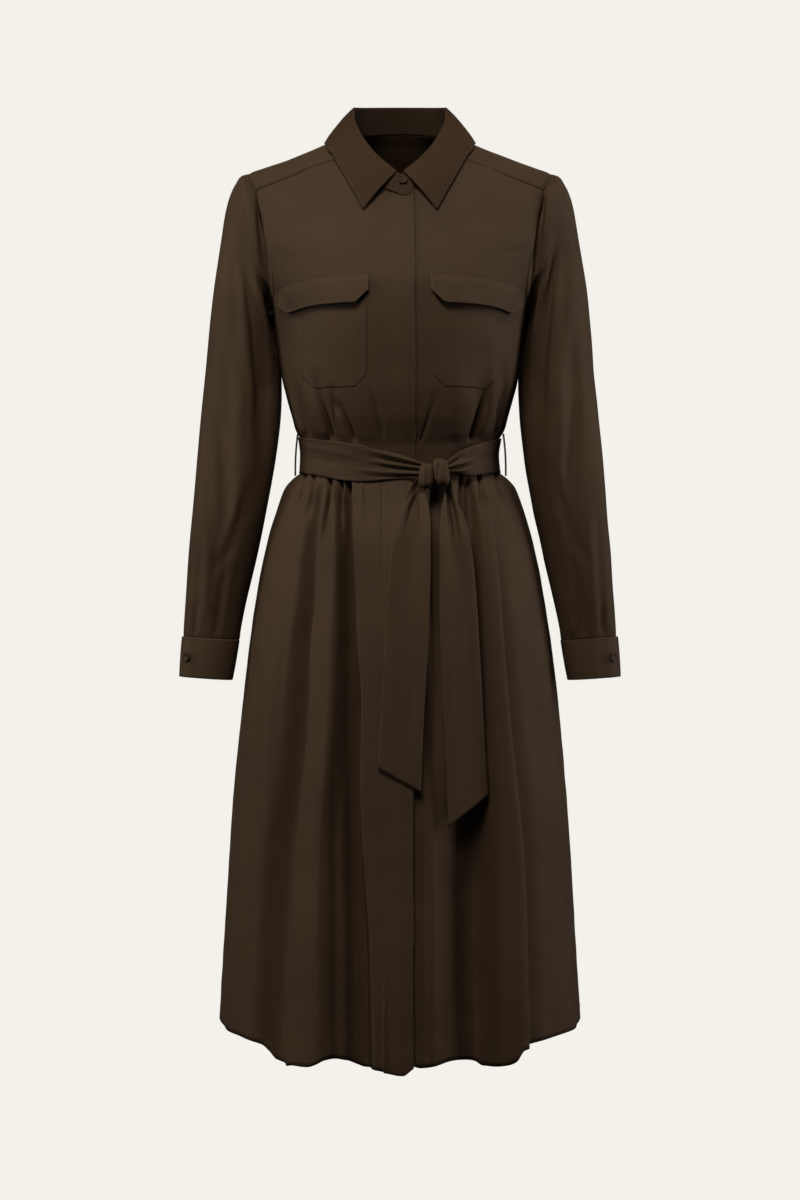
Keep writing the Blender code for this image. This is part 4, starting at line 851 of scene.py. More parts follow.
def leafPoints():
    shares = evenly(collarShape["cells"])
    roll = np.concatenate([curveAt(rollBack, shares), curveAt(rollFront, shares)[1:]])
    leafFront = np.concatenate([np.array(leafSide), frontCurve(leafTip)])
    edge = np.concatenate([curveAt(leafBack, shares, True), curveAt(leafFront, shares, True)[1:]])
    low = bodyPoint(edge, collarShape["lift"])
    inwards = unit(roll * (-1, -1, 0))
    rows = []
    # the cloth rolls over from the stand: inside first, round the top, then down
    for turn in np.linspace(180, 20, 9):
        a = math.radians(turn)
        turned = inwards * collarShape["rollWidth"] * (1 - math.cos(a))
        over = roll - (0, 0, collarShape["rollSink"]) + turned
        rows.append(over + np.array([0, 0, collarShape["rollHeight"]]) * math.sin(a))
    for t in np.linspace(0, 1, collarShape["rows"] + 1)[1:]:
        point = roll * (1 - t) + low * t
        out = unit(np.stack([point[:, 0], point[:, 1] - 0.01, np.full(len(point), 0.02)], axis=1))
        rows.append(point + out * collarShape["bulge"] * 4 * t * (1 - t))
    half = np.array(rows)
    return np.concatenate([half[:, ::-1], half[:, 1:] * (-1, 1, 1)], axis=1)


def standPoints():
    back = curveAt(rollBack, evenly(yokeBackCells + tipBackCells))
    front = curveAt(rollFront, evenly(tipFrontCells + neckCells))
    left = np.concatenate([back, front[1:]])[::-1]
    roll = np.concatenate([left, left[-2::-1] * (-1, 1, 1)])
    inwards = unit(roll * (-1, -1, 0))
    frontness = np.clip(-roll[:, 1:2] / 0.05, 0, 1)
    top = roll + inwards * (0.0022 + 0.0022 * frontness) - (0, 0, 0.0008)
    foot = neckline + unit(top - neckline) * 0.0004
    index = np.arange(len(neckline))
    lap = smooth((index - (len(neckline) - 46)) / 22)[:, None]
    across = np.linspace(lapFoot[1][0], lapFoot[-1][0], 25)[1:]
    heights = eased(lapFoot, 1, across)
    angles = angleOf(np.abs(across), heights) * np.sign(across)
    lapped = bodyPoint(np.stack([angles, heights], axis=1), collarShape["lapLift"])
    forward = np.array([0, collarShape["lapForward"], 0])
    over = top[-1] - forward + np.linspace(0, 1, 25)[1:, None] * collarShape["tab"]
    rows = []
    for t in np.linspace(0, 1, 18):
        row = foot * (1 - t) + top * t - forward * lap
        rows.append(np.concatenate([row, lapped * (1 - t) + over * t]))
    return np.array(rows)


leafGrid, standGrid = leafPoints(), standPoints()
# collar leaf and stand in the crepe coloured with painted shade
collarLeaf = clothPiece("collar_leaf_cloth", leafGrid[::-1], shadedCollarCrepe, thickness=collarShape["thickness"])
# the stand's inner face takes the painted shade of the inside of the neck
collarStand = clothPiece("collar_stand_cloth", standGrid, shadedCollarCrepe, thickness=collarShape["thickness"],
                         inside=insideShadeCrepe)
dress(collarLeaf, ["collar_leaf"])
dress(collarStand, ["collar_stand"])
print("collar made")

# Pockets, flaps and the front placket lie on the panels

fronts = surfaceOf(leftPoints, rightPoints)
pocketShape = dict(inner=0.0395, outer=0.118, top=-0.197, bottom=-0.318, corner=0.015, lift=0.0004)
flapShape = dict(inner=0.0365, outer=0.1458, top=-0.185, corner=-0.2035, low=-0.2192, topDrop=0.0095,
                 lowDrop=0.0125, flare=0.0012, sideReach=0.149, thickness=0.0012)
flapLift = [(-0.2192, 0.0062), (-0.2035, 0.005), (-0.1935, 0.0036), (-0.185, 0.0012)]  # height, lift


def pocketPoints(mirror):
    inner, outer, top, bottom, corner, lift = pocketShape.values()
    cut = bottom + corner
    rows = []
    for height in np.concatenate([np.linspace(bottom, cut, 12)[:-1], np.linspace(cut, top, 60)]):
        inset = max(0.0, cut - height)
        across = np.linspace(inner + inset, outer - inset, 50)
        row = [laidOn(fronts, x * mirror, height, lift) for x in across]
        rows.append(row if mirror > 0 else row[::-1])
    return np.array(rows)


def flapPoints(mirror):
    inner, outer, top, low = (flapShape[key] for key in ("inner", "outer", "top", "low"))
    rows = []
    for height in np.linspace(low, top, 30):
        inset = max(0.0, flapShape["corner"] - height)
        across = np.linspace(inner + inset, outer - inset * 0.8, 70)
        share = (across - inner) / (outer - inner)
        wave = flapShape["flare"] * np.sin(share * 5.0 + 1.0) * smooth((-0.195 - height) / 0.03)
        lift = eased(flapLift, 1, height) + wave
        # the top edge falls in a long curve and the lower one only near its end
        down = (top - height) / (top - low)
        drop = (1 - down) * flapShape["topDrop"] * share ** 2.3 + down * flapShape["lowDrop"] * share ** 5
        row = [laidOn(fronts, x * mirror, height - fall, float(up), flapShape["sideReach"])
               for x, fall, up in zip(across, drop, lift)]
        rows.append(row if mirror > 0 else row[::-1])
    return np.array(rows)

placketShape = dict(lift=0.0001, rise=0.0018, sewnDown=0.001, thickness=0.0007)


def placketPoints(tree, shares, low, top, left, reach, rise=None):
    # sewn flush on its inner side and free at the front edge, between tables of its ends by distance
    rows = []
    across = np.concatenate([[placketRight, placketRight + 0.0007, placketRight + 0.0014],
                             np.linspace(placketRight + 0.003, left, 22)])
    lows, tops = eased(low, 1, across), eased(top, 1, across)
    for share in shares:
        row = []
        for k, x in enumerate(across):
            away = smooth((x - placketRight) / (left - placketRight) * 1.3)
            lift = placketShape["lift"] + (placketShape["rise"] * float(away) if k > 1 else 0.0)
            if k == 0:
                lift = -placketShape["sewnDown"]
            height = float(lows[k] + (tops[k] - lows[k]) * share)
            hit = min(max(height, reach[0]), reach[1])
            place = laidOn(tree, x, hit, lift)
            if rise is not None and x > -frontEdge:
                place.y -= float(rise(x, height))
            place.y += 0.6 * max(0.0, height - hit)
            place.z += height - hit
            row.append(place)
        rows.append(row)
    return np.array(rows)


pocketRows, flapGrids = {}, {}
for side, mirror in (("left", 1), ("right", -1)):
    pocketRows[side], flapGrids[side] = pocketPoints(mirror), flapPoints(mirror)
    pocket = clothPiece(f"pocket_{side}_cloth", pocketRows[side], thickness=pocketShape["lift"])
    flap = clothPiece(f"flap_{side}_cloth", flapGrids[side], thickness=flapShape["thickness"])
    dress(pocket, [f"pocket_{side}"])
    dress(flap, [f"flap_{side}"])
bandTop = [(x, z - 0.0004) for x, z in lapFoot]
bandFoot = [(-0.03, float(waistHeight(0.0)) + 0.001), (0.03, float(waistHeight(0.0)) + 0.001)]
bodiceBand = placketPoints(fronts, evenly(120), bandFoot, bandTop, placketLeft, (-9.0, -0.0822))
bodicePlacket = clothPiece("bodice_placket_cloth", bodiceBand, thickness=placketShape["thickness"])
dress(bodicePlacket, ["bodice_placket"])

# Skirt

frontHem = [(0.0, -1.113), (12.0, -1.109), (32.0, -1.108), (60.0, -1.103), (90.0, -1.101)]
rightHemDrop, rightHemDropAngle, backHem = 0.007, 14.0, -1.103
skirtShape = dict(hemFold=0.016, waves=0.0007, waveTop=-0.96, waveFade=0.15, beltClear=0.013)
frontSkirtCells, backSkirtCells = 230, 300
skirtShares = np.concatenate([np.linspace(0, 0.05 / 0.71, 18)[:-1], np.linspace(0.05 / 0.71, 1, 104)])[::-1]


def hemHeight(angle):
    turned = np.abs((np.asarray(angle, float) + 180.0) % 360.0 - 180.0)
    rear = frontHem[-1][1] + (backHem - frontHem[-1][1]) * np.minimum(1.0, (turned - 90.0) / 40.0)
    return np.where(turned > 90.0, rear, eased(frontHem, 1, turned))


def skirtFront(edge, drop):
    seam = seamGap / 2
    top, low = float(waistHeight(0.0)) - seam, float(hemHeight(0.0)) - drop
    first = angleOf(edge, top + (low - top) * skirtShares)
    last = 90.0 - math.degrees(seam / 0.2)
    angles = first[:, None] + (last - first)[:, None] * evenly(frontSkirtCells)[None]
    low = hemHeight(angles) - drop * np.maximum(0.0, 1 - np.maximum(0.0, angles) / rightHemDropAngle)
    top = waistHeight(angles) - seam
    return np.stack([angles, top + (low - top) * skirtShares[:, None]], axis=-1)


def skirtBack():
    seam = seamGap / 2
    across = 90.0 + math.degrees(seam / 0.2)
    angles = np.linspace(across, 360.0 - across, backSkirtCells + 1)
    angles = np.broadcast_to(angles, (len(skirtShares), backSkirtCells + 1))
    low, top = hemHeight(angles), waist - seam
    return np.stack([angles, top + (low - top) * skirtShares[:, None]], axis=-1)


# pleats and folds of the front: height, x, left width, right width, rise (mm)
skirtUpright = [
    # hollow and crest of the wide fold on the wearer's right: long slope outside, steep one inside
    [(-430, -94, 5, 3, -3), (-448, -98, 9, 4, -7), (-508, -106, 14, 7, -13), (-572, -109, 18, 9, -17),
     (-631, -115, 21, 10, -19), (-690, -117, 24, 11, -20), (-748, -121, 26, 12, -20),
     (-863, -134, 27, 14, -20), (-978, -141, 28, 16, -18), (-1116, -148, 28, 18, -16)],
    [(-520, -136, 10, 8, 0), (-600, -146, 16, 12, 3), (-700, -154, 20, 15, 4.5), (-863, -166, 22, 17, 5),
     (-1116, -178, 20, 18, 4)],
    [(-430, -80, 9, 5, 2.4), (-448, -79, 16, 6, 5), (-488, -75, 28, 8, 8), (-572, -74, 33, 11, 11),
     (-690, -77, 38, 15, 14), (-790, -85, 42, 17, 15.5), (-863, -90, 44, 18, 16), (-978, -91, 49, 18, 16),
     (-1116, -91, 56, 20, 16)],
    # small pleats at the belt between them
    [(-414, -84, 3.5, 3, -11), (-445, -85, 4, 3.5, -14), (-474, -88, 5, 4, -9), (-520, -92, 6, 6, 0)],
    [(-414, -71, 3, 3, -9), (-445, -71, 3.5, 3.5, -11), (-480, -71, 4, 4, -6), (-525, -72, 5, 5, 0)],
    # deep valley that ends under the front panel, with a low ridge rising in it
    [(-414, -61, 7, 3, -10), (-448, -60.5, 10, 3, -15), (-500, -59, 15, 3.5, -18),
     (-572, -55.5, 22, 3.5, -20), (-631, -52.5, 28, 3.5, -22), (-690, -47.8, 34, 3.5, -24),
     (-790, -49, 37, 4, -26), (-863, -47.5, 38, 5, -26), (-978, -41, 43, 7, -24), (-1116, -39, 45, 10, -20)],
    [(-700, -71, 6, 6, 0), (-790, -70, 8, 8, 4), (-863, -69, 10, 9, 6), (-980, -65, 11, 9, 5.4),
     (-1116, -64, 12, 10, 4)],
    # soft tucks that run out under the belt
    [(-410, -105, 3, 3, -7), (-440, -107, 4, 4, -7), (-482, -114, 7, 7, 0)],
    [(-406, -116, 3, 3, -6), (-436, -119, 4, 4, -5.5), (-474, -127, 7, 7, 0)],
    [(-426, -46, 3, 3, 0.8), (-450, -46, 5, 5, 1.4), (-500, -44, 9, 9, 0)],
    [(-428, -21, 2, 2, -0.6), (-470, -21, 3, 3, -0.8), (-560, -20, 4, 4, 0)],
    [(-426, -6, 3, 3, -0.8), (-450, -6, 5, 5, -1), (-490, -6, 7, 7, 0)],
    [(-920, -14, 3, 10, 0), (-1000, -15, 4, 12, 1.2), (-1116, -17, 5, 14, 1.6)],
    # wearer's left: hollow between the tails, low crest beside the placket
    [(-426, 39, 8, 12, -5), (-450, 40, 11, 15, -9), (-550, 41, 14, 20, -12), (-690, 42, 15, 24, -11),
     (-770, 42, 14, 24, -6), (-830, 42, 10, 20, 0)],
    [(-760, 36, 14, 8, 0), (-863, 36, 16, 12, 4), (-978, 37, 18, 14, 5), (-1116, 37, 18, 16, 4)],
    # long slope down to a valley, and the crest of the wide fold beyond it
    [(-426, 84, 20, 3, -6), (-448, 87, 28, 5, -11), (-500, 90, 38, 8, -16), (-572, 89, 44, 14, -19),
     (-690, 91, 48, 18, -20), (-790, 93, 54, 22, -22), (-863, 96, 60, 24, -28), (-920, 96, 60, 25, -32),
     (-978, 96, 60, 26, -32), (-1116, 96, 60, 28, -27)],
    [(-430, 97, 7, 4, 2), (-448, 103, 12, 4, 5), (-500, 109, 17, 6, 8), (-572, 113, 22, 8, 11),
     (-690, 119, 26, 10, 15), (-790, 127, 30, 12, 18), (-863, 133, 34, 13, 19), (-978, 138, 38, 14, 19),
     (-1116, 140, 40, 15, 18)],
    [(-448, 110, 3, 9, -1.8), (-500, 117, 4, 12, -3), (-690, 130, 5, 18, -4.4), (-863, 147, 6, 20, -4.4),
     (-1116, 155, 8, 20, -3.4)],
    [(-414, 74, 3, 3, -8), (-445, 75, 4, 4, -8), (-478, 77, 6, 6, 0)],
    [(-412, 96, 3, 3.5, -8), (-440, 98, 4, 5, -8), (-470, 101, 6, 7, 0)],
    [(-410, 118, 3, 3, -6), (-438, 122, 4, 4, -5), (-466, 128, 6, 6, 0)],
]
# the overlap stands over the front beneath it: height, x of its outer side, width there, rise (mm)
overlap = [
    (-428, -59.5, 3, 0.8), (-448, -59, 3, 1.6), (-500, -57.2, 3.5, 2.8), (-572, -53.7, 3.5, 3.8),
    (-631, -50.7, 3.5, 4.2), (-690, -46, 3.5, 4.4), (-790, -47, 4, 4.4), (-863, -45, 5, 4.2),
    (-978, -37.5, 7, 3.4), (-1116, -34, 10, 2.4),
]
skirtRear = [
    [(-424, -118, 4, 4, -1.6), (-500, -132, 8, 8, -1.8), (-620, -146, 10, 10, 0)],
    [(-424, -96, 3, 6, 1.6), (-520, -108, 6, 12, 2.4), (-760, -124, 9, 18, 2.6), (-1100, -138, 12, 22, 2.4)],
    [(-424, -84, 4, 3, -2), (-520, -92, 8, 5, -2.8), (-760, -104, 12, 8, -3), (-1100, -118, 14, 9, -2.4)],
    [(-424, -52, 3, 7, 1.8), (-540, -58, 6, 14, 2.6), (-800, -66, 9, 20, 2.4), (-1100, -74, 12, 22, 2)],
    [(-424, -36, 4, 4, -2), (-520, -38, 8, 8, -2.2), (-700, -42, 10, 10, 0)],
    [(-424, -8, 4, 4, 1.6), (-520, -10, 8, 8, 1.8), (-760, -12, 10, 10, 1.2), (-1100, -16, 12, 12, 1.4)],
    [(-424, 18, 4, 3, -2.2), (-540, 22, 9, 5, -3), (-800, 28, 12, 8, -3), (-1100, 32, 14, 9, -2.2)],
    [(-424, 30, 3, 9, 1.6), (-540, 36, 5, 15, 2.6), (-800, 46, 8, 20, 2.6), (-1100, 52, 11, 22, 2.4)],
    [(-424, 66, 4, 4, -1.8), (-520, 74, 8, 8, -2.2), (-680, 84, 10, 10, 0)],
    [(-424, 92, 6, 3, 1.6), (-540, 106, 13, 6, 2.6), (-800, 124, 18, 9, 2.4), (-1100, 140, 20, 12, 2)],
    [(-424, 110, 4, 4, -1.6), (-520, 124, 7, 7, -1.8), (-640, 140, 10, 10, 0)],
]


# how far the hem hangs lower or higher than an even one: x, drop (mm)
frontWave = [
    (-230, -12), (-208, -11), (-178, -9.5), (-164, -7), (-155, 0), (-146, 9), (-136, 11), (-126, 8),
    (-107, 6), (-97, 2), (-88, -2.5), (-79, -3.5), (-60, -1), (-51, 2.5), (-42, 4.5), (-30, 2), (0, 1.2),
    (14, 1), (24, 3.5), (42, 2.5), (60, 0), (79, 2.5), (88, 5), (97, 10), (107, 10), (127, 7), (136, 3.5),
    (146, -9), (155, -10), (173, -11), (208, -12), (230, -12),
]
rearWave = [
    (-230, -12), (-190, -9), (-130, -1), (-70, 3), (-20, -1), (40, 3), (110, 0), (190, -9), (230, -12),
]


def overlapRise(x, z):
    x, z = np.asarray(x) * 1000, np.asarray(z) * 1000
    return eased(overlap, 3, z) * smooth((x - eased(overlap, 1, z)) / eased(overlap, 2, z) + 0.5) / 1000


def skirtPoints(grid, folds, front, side=0):
    points = bodyPoint(grid)
    free = smooth((-(points[..., 2] - waistHeight(grid[..., 0])) - skirtShape["beltClear"]) / 0.008)
    edge = smooth((90.0 - np.abs((grid[..., 0] + 180) % 360 - 180)) / (8 if front else -8))
    field = uprightFolds(points, folds, front)
    if side > 0:
        field = field * smooth((points[..., 0] - 0.018) / 0.008) + uprightFolds(points, edgeTrough)
    if side < 0:
        field += overlapRise(points[..., 0], points[..., 2]) * (points[..., 1] < 0)
    points = drape(moved(points, field * free * edge), bodySeed, skirtShape["waves"])
    wave = eased(frontWave if front else rearWave, 1, points[..., 0] * 1000) / 1000
    points[..., 2] -= wave * smooth((skirtShape["waveTop"] - points[..., 2]) / skirtShape["waveFade"])
    return points


def hemmed(points):
    # the hem is folded up inside
    normals = gridNormals(points)[0]
    up = points[3] - points[0]
    up *= skirtShape["hemFold"] / np.linalg.norm(up, axis=1, keepdims=True)
    fold = [points[0] + up * share - normals * depth
            for share, depth in ((1.0, 0.0016), (0.5, 0.002), (0.06, 0.0018), (0.0, 0.0008))]
    return np.concatenate([np.array(fold), points])


skirtLeftPoints = skirtPoints(skirtFront(-frontEdge + seamGap, 0.0), skirtUpright, True, 1)
skirtRightPoints = skirtPoints(mirrored(skirtFront(frontEdge, rightHemDrop)), skirtUpright, True, -1)
skirtBackPoints = skirtPoints(skirtBack(), skirtRear, False)
skirtLeft = clothPiece("skirt_left", hemmed(seamed(skirtLeftPoints, ("right",), lapped=("right",))))
skirtRight = clothPiece("skirt_right", hemmed(seamed(skirtRightPoints, ("left",), lapped=("left",))))
rearSewn = seamed(skirtBackPoints, ("left", "right"), short=("left", "right"))
skirtRearPiece = clothPiece("skirt_rear", hemmed(rearSewn))
dress(skirtLeft, ["skirt_front_left"])
dress(skirtRight, ["skirt_front_right"])
dress(skirtRearPiece, ["skirt_back"])
skirts = surfaceOf(skirtLeftPoints, skirtRightPoints)
lowest = float(hemHeight(angleOf(placketLeft, frontHem[0][1]))) + 0.0015
bandHem = [
    (-0.0195, -1.1192), (-0.01, -1.1212), (0.0, -1.1228), (0.004, -1.1228), (0.009, -1.1198),
    (0.015, -1.1145),
]
bandHead = [(-0.03, float(waistHeight(0.0)) - 0.001), (0.03, float(waistHeight(0.0)) - 0.001)]
skirtBand = placketPoints(skirts, evenly(220), bandHem, bandHead, placketLeft - 0.0025, (lowest, 9.0),
                          overlapRise)
skirtPlacket = clothPiece("skirt_placket_cloth", skirtBand, thickness=placketShape["thickness"])
dress(skirtPlacket, ["skirt_placket"])
print("skirt made")

# Sash: band, knot and tails

beltRows = [  # angle, middle height, half height
    (16, -0.4175, 0.0085), (22, -0.4135, 0.007), (30, -0.4075, 0.013),
    (42, -0.4035, 0.018), (60, -0.3975, 0.02), (90, -0.3925, 0.021),
    (180, -0.39, 0.022), (270, -0.392, 0.0218), (305, -0.398, 0.0218),
    (325, -0.4045, 0.0218), (338, -0.41, 0.0195), (350, -0.416, 0.013),
    (360, -0.417, 0.0095), (368, -0.4175, 0.0085), (376, -0.4175, 0.008),
]
# the upper edge rises towards the knot on the wearer's right: x, rise (mm)
beltTopRise = [(-92, 0), (-60, 3.5), (-37, 9.5), (-18, 11.5), (-3, 10), (11, 6.5), (22, 2.5), (30, 0)]
sashShape = dict(crown=0.0042, edgeDrop=0.0009, ripple=0.0006, knotLift=0.006, knotReach=26.0,
                 thickness=0.0014)
beltCreases = [
    # wearer's right of the knot
    [(24, -411.5, 1.6, -3.2), (4, -408, 2.2, -3.2), (-14, -405, 3, -2.4), (-36, -400, 4, 0)],
    [(24, -414.5, 1.5, 2.2), (2, -411.5, 2.4, 2.6), (-22, -408, 3.6, 2), (-48, -403, 5, 0)],
    [(24, -417.5, 1.5, -3.4), (4, -415.5, 2.2, -3.4), (-14, -413.5, 3, -2.4), (-32, -410, 4, 0)],
    [(24, -421, 1.6, 1.6), (-4, -420, 2.6, 2), (-34, -418, 4, 1.4), (-60, -414, 5, 0)],
    [(24, -424, 1.6, -3), (-2, -425, 2.4, -2.6), (-26, -424.5, 3.4, -1.4), (-50, -422, 4, 0)],
    [(-40, -404, 5, 0), (-70, -396, 6, 1), (-104, -388, 6, 0.6), (-120, -384, 5, 0)],
    [(-60, -412, 4, 0), (-90, -404, 5, -1), (-118, -398, 5, 0)],
    [(24, -409, 1.5, 1.6), (6, -403.5, 2.4, 2), (-16, -398, 3.6, 1.8), (-46, -392, 5, 0)],
    # wearer's left of the knot
    [(57, -410, 1.6, -3.2), (66, -405, 2.4, -3), (78, -398, 3.4, 0)],
    [(57, -413, 1.5, 2.2), (70, -409, 2.6, 2.6), (92, -402, 4, 0)],
    [(57, -416, 1.6, -3.2), (70, -413.5, 2.4, -3), (92, -409, 3.6, 0)],
    [(57, -420, 1.6, -2.6), (72, -420.5, 2.6, -2.2), (88, -419, 3.4, 0)],
    [(90, -398, 5, 0), (106, -392, 5, 1), (120, -386, 4, 0)],
]


def beltPoints():
    angles = np.linspace(22.0, 376.0, 420)
    middle, half = eased(beltRows, 1, angles), eased(beltRows, 2, angles)
    across = bodyPoint(np.stack([angles, middle], axis=1), 0.0 * angles)[:, 0] * 1000
    rise = eased(beltTopRise, 1, across) / 2000 * (angles > 270.0)
    middle, half = middle + rise, half + rise
    rows = []
    for side in np.linspace(-1, 1, 25):
        ripple = sashShape["ripple"] * np.sin(np.radians(angles * 3)) * (1 - side * side)
        crown = sashShape["crown"] - sashShape["edgeDrop"] * side ** 6 + ripple
        for knotSide in (29.0, 376.0):
            crown = crown + sashShape["knotLift"] * bump((angles - knotSide) / sashShape["knotReach"])
        rows.append(bodyPoint(np.stack([angles, middle + side * half], axis=1), crown))
    points = np.array(rows)
    return moved(points, creases(points, beltCreases))


beltGrid = beltPoints()
beltBand = clothPiece("belt_band_cloth", beltGrid, thickness=sashShape["thickness"])
dress(beltBand, ["belt_band"])

tailTables = {
    "right": [(-0.428, 0.019, 0.028, 0.003), (-0.436, 0.0135, 0.0288, 0.0055),
              (-0.449, 0.006, 0.0315, 0.007), (-0.46, 0.001, 0.034, 0.0075),
              (-0.485, -0.0045, 0.0362, 0.0075), (-0.52, -0.011, 0.0362, 0.005),
              (-0.57, -0.015, 0.035, 0.0025), (-0.63, -0.018, 0.0325, 0.0012),
              (-0.7, -0.022, 0.028, 0.0005), (-0.767, -0.0262, 0.0245, 0.0000)],
    "left": [(-0.428, 0.052, 0.06, 0.003), (-0.436, 0.053, 0.063, 0.0045),
             (-0.449, 0.052, 0.0665, 0.006), (-0.46, 0.05, 0.071, 0.007),
             (-0.485, 0.0475, 0.08, 0.007), (-0.52, 0.0465, 0.086, 0.005),
             (-0.57, 0.0465, 0.0905, 0.0025), (-0.64, 0.048, 0.0945, 0.0012),
             (-0.72, 0.052, 0.099, 0.0005), (-0.8014, 0.0565, 0.1045, 0.0000)],
}
tailShape = {  # how far the end is pointed, and how far it swings back
    "right": dict(point=-0.029, back=0.0),
    "left": dict(point=0.035, back=0.007),
}
tailThickness = 0.0012


def tailPoints(tree, table, pointDrop, backwards):
    top, low = table[0][0], table[-1][0]
    rows = []
    for share in np.linspace(1.0, 0.0, 150):
        height = top + (low - top) * share
        left, right, valley = (float(eased(table, column, height)) for column in (1, 2, 3))
        under = float(smooth((height + 0.458) / 0.026))
        over = float(overlapRise(0.0, height))
        row = []
        for s in np.linspace(0.0, 1.0, 29):
            pointed = pointDrop * (s if pointDrop < 0 else s - 1) * share ** 6
            z = height + pointed
            place = laidOn(tree, left + (right - left) * s, min(z, -0.449), 0.0)
            back = backwards * (0.4 + s) * float(smooth((-height - 0.6) / 0.2))
            y = place.y - 0.006 - over - valley + back
            row.append([left + (right - left) * s, y * (1 - under) - 0.111 * under, z])
        row = np.array(row)
        s = np.linspace(0.0, 1.0, 29)
        chord = row[0, 1] + (row[-1, 1] - row[0, 1]) * s
        row[:, 1] = np.minimum(row[:, 1], chord) + valley * np.sin(np.pi * s) ** 2
        rows.append(row)
    points = np.array(rows)
    # even out the fall of the cloth from row to row
    for _ in range(12):
        points[1:-1, :, 1] = (points[:-2, :, 1] + 2 * points[1:-1, :, 1] + points[2:, :, 1]) / 4
    return points


tailCreases = {
    "right": [
        [(22, -444, 2.5, -2.4), (14, -462, 3.5, -3.2), (9, -482, 5, -2), (6, -500, 6, 0)],
        [(16, -446, 3, 1.8), (6, -462, 4, 2.2), (-1, -486, 5, 1.6), (-6, -520, 6, 0)],
        [(24, -446, 3, 1.8), (25, -480, 4, 2), (27, -520, 6, 0)],
        [(-6, -560, 6, 0), (-8, -640, 9, 0.9), (-12, -720, 9, 0)],
        [(18, -600, 7, 0), (14, -680, 9, -0.8), (10, -760, 8, 0)],
    ],
    "left": [
        [(59, -446, 2.5, -2.4), (63, -468, 3.5, -3.2), (66, -490, 5, -1.8), (68, -506, 6, 0)],
        [(62, -440, 3, 1.8), (70, -468, 4, 2.4), (74, -500, 5, 1.8), (76, -536, 6, 0)],
        [(54, -446, 3, 1.6), (54, -470, 3.5, 1.8), (53, -500, 5, 0)],
        [(78, -560, 6, 0), (82, -640, 8, -0.9), (86, -720, 8, 0)],
        [(60, -600, 7, 0), (62, -690, 9, 0.8), (66, -780, 8, 0)],
    ],
}
# the tails hang over the hollows of the skirt, so they follow its form without them
halfSkirt = skirtFront(-frontEdge, 0.0)
onSkirt = surfaceOf(bodyPoint(halfSkirt), bodyPoint(mirrored(halfSkirt)))
tailGrids = {}
for side in ("right", "left"):
    shape = tailShape[side]
    points = tailPoints(onSkirt, tailTables[side], shape["point"], shape["back"])
    tailGrids[side] = moved(points, creases(points, tailCreases[side]))
    tail = clothPiece(f"belt_tail_{side}_cloth", tailGrids[side], thickness=tailThickness)
    dress(tail, [f"belt_tail_{side}"])

knotLobes = [
    # centre, size, lean, turn, squareness: the wrap on the wearer's right and the one over it on the left
    dict(centre=(0.0318, -0.112, -0.4245), size=(0.019, 0.02, 0.03), lean=0.08, turn=0.04, square=0.5),
    dict(centre=(0.0492, -0.1135, -0.42), size=(0.019, 0.023, 0.033), lean=0.12, turn=-0.12, square=0.5),
]
knotCreases = [
    [(25, -408, 1.6, -0.6), (26, -422, 2.2, -1), (26, -440, 1.8, -0.6)],
    [(33, -407, 1.6, 0), (33, -420, 2, -1.1), (31, -440, 1.8, -0.8)],
    [(47, -402, 1.8, -0.8), (45, -418, 2.4, -1.6), (43, -438, 1.8, -1)],
    [(54, -403, 1.8, -0.4), (54, -418, 2.2, -1.2), (51, -438, 1.8, 0)],
]


def knotPoints(lobe):
    # a band wrapped over, crowned across and flattened behind
    up, around = np.meshgrid(np.linspace(-90, 90, 60), np.linspace(0, 360, 96, endpoint=False),
                             indexing="ij")
    up, around = np.radians(up), np.radians(around)
    x, y, z = np.cos(up) * np.sin(around), -np.cos(up) * np.cos(around), np.sin(up)
    x, z = (np.copysign(np.abs(c) ** lobe["square"], c) for c in (x, z))
    y = np.copysign(np.abs(y) ** 0.8, y)
    points = np.stack([x, y, z], axis=-1) * np.array(lobe["size"]) / 2
    # narrower where the cloth turns under at the ends
    points[..., 0] *= 1 - 0.14 * (2 * points[..., 2] / lobe["size"][2]) ** 2
    points[..., 1] += lobe["lean"] * points[..., 2]
    points[..., 0] += lobe["turn"] * points[..., 2]
    return points + np.array(lobe["centre"])


knots = []
for number, lobe in enumerate(knotLobes):
    points = knotPoints(lobe)
    inner = np.ones(points.shape[:2])
    inner[:3], inner[-3:] = 0, 0
    points = moved(points, creases(points, knotCreases) * inner, True)
    knots.append(clothPiece(f"belt_knot_wrap_{number + 1}", points, closed=True))
dress(knots[0], ["belt_knot"])
dress(knots[1], [])
print("sash made")

# Buttons and thread loops


button = dict(holeAt=0.0012, holeSize=0.0008, holeDepth=0.0012)


def buttonPiece(name, place, facing):
    # turned blank with a dished face and four holes
    profile = [(0.0001, 0.0017), (0.0012, 0.0017), (0.0026, 0.0017), (0.0038, 0.0018), (0.0042, 0.0023),
               (0.0048, 0.0026), (0.0053, 0.0024), (0.0056, 0.0017), (0.0056, 0.0009), (0.0052, 0.0003),
               (0.0001, 0.0002)]
    line = np.array([(a[0] + (b[0] - a[0]) * t, a[1] + (b[1] - a[1]) * t)
                     for a, b in zip(profile, profile[1:]) for t in (0.0, 0.34, 0.67)] + [profile[-1]])
    turns = np.radians(np.linspace(0, 360, 64, endpoint=False))
    points = np.stack([line[:, :1] * np.cos(turns), line[:, :1] * np.sin(turns),
                       np.broadcast_to(line[:, 1:], (len(line), 64))], axis=-1)
    for sx in (-1, 1):
        for sy in (-1, 1):
            holeX, holeY = sx * button["holeAt"], sy * button["holeAt"]
            away = np.hypot(points[..., 0] - holeX, points[..., 1] - holeY) / button["holeSize"]
            face = points[..., 2] > 0.001
            points[..., 2] -= np.where(face, button["holeDepth"] * bump(away), 0.0)
    turn = Vector(facing).to_track_quat("Z", "Y").to_matrix()
    points = points @ np.array(turn).T + np.array(place)
    return clothPiece(name, points[::-1], buttonResin, closed=True)


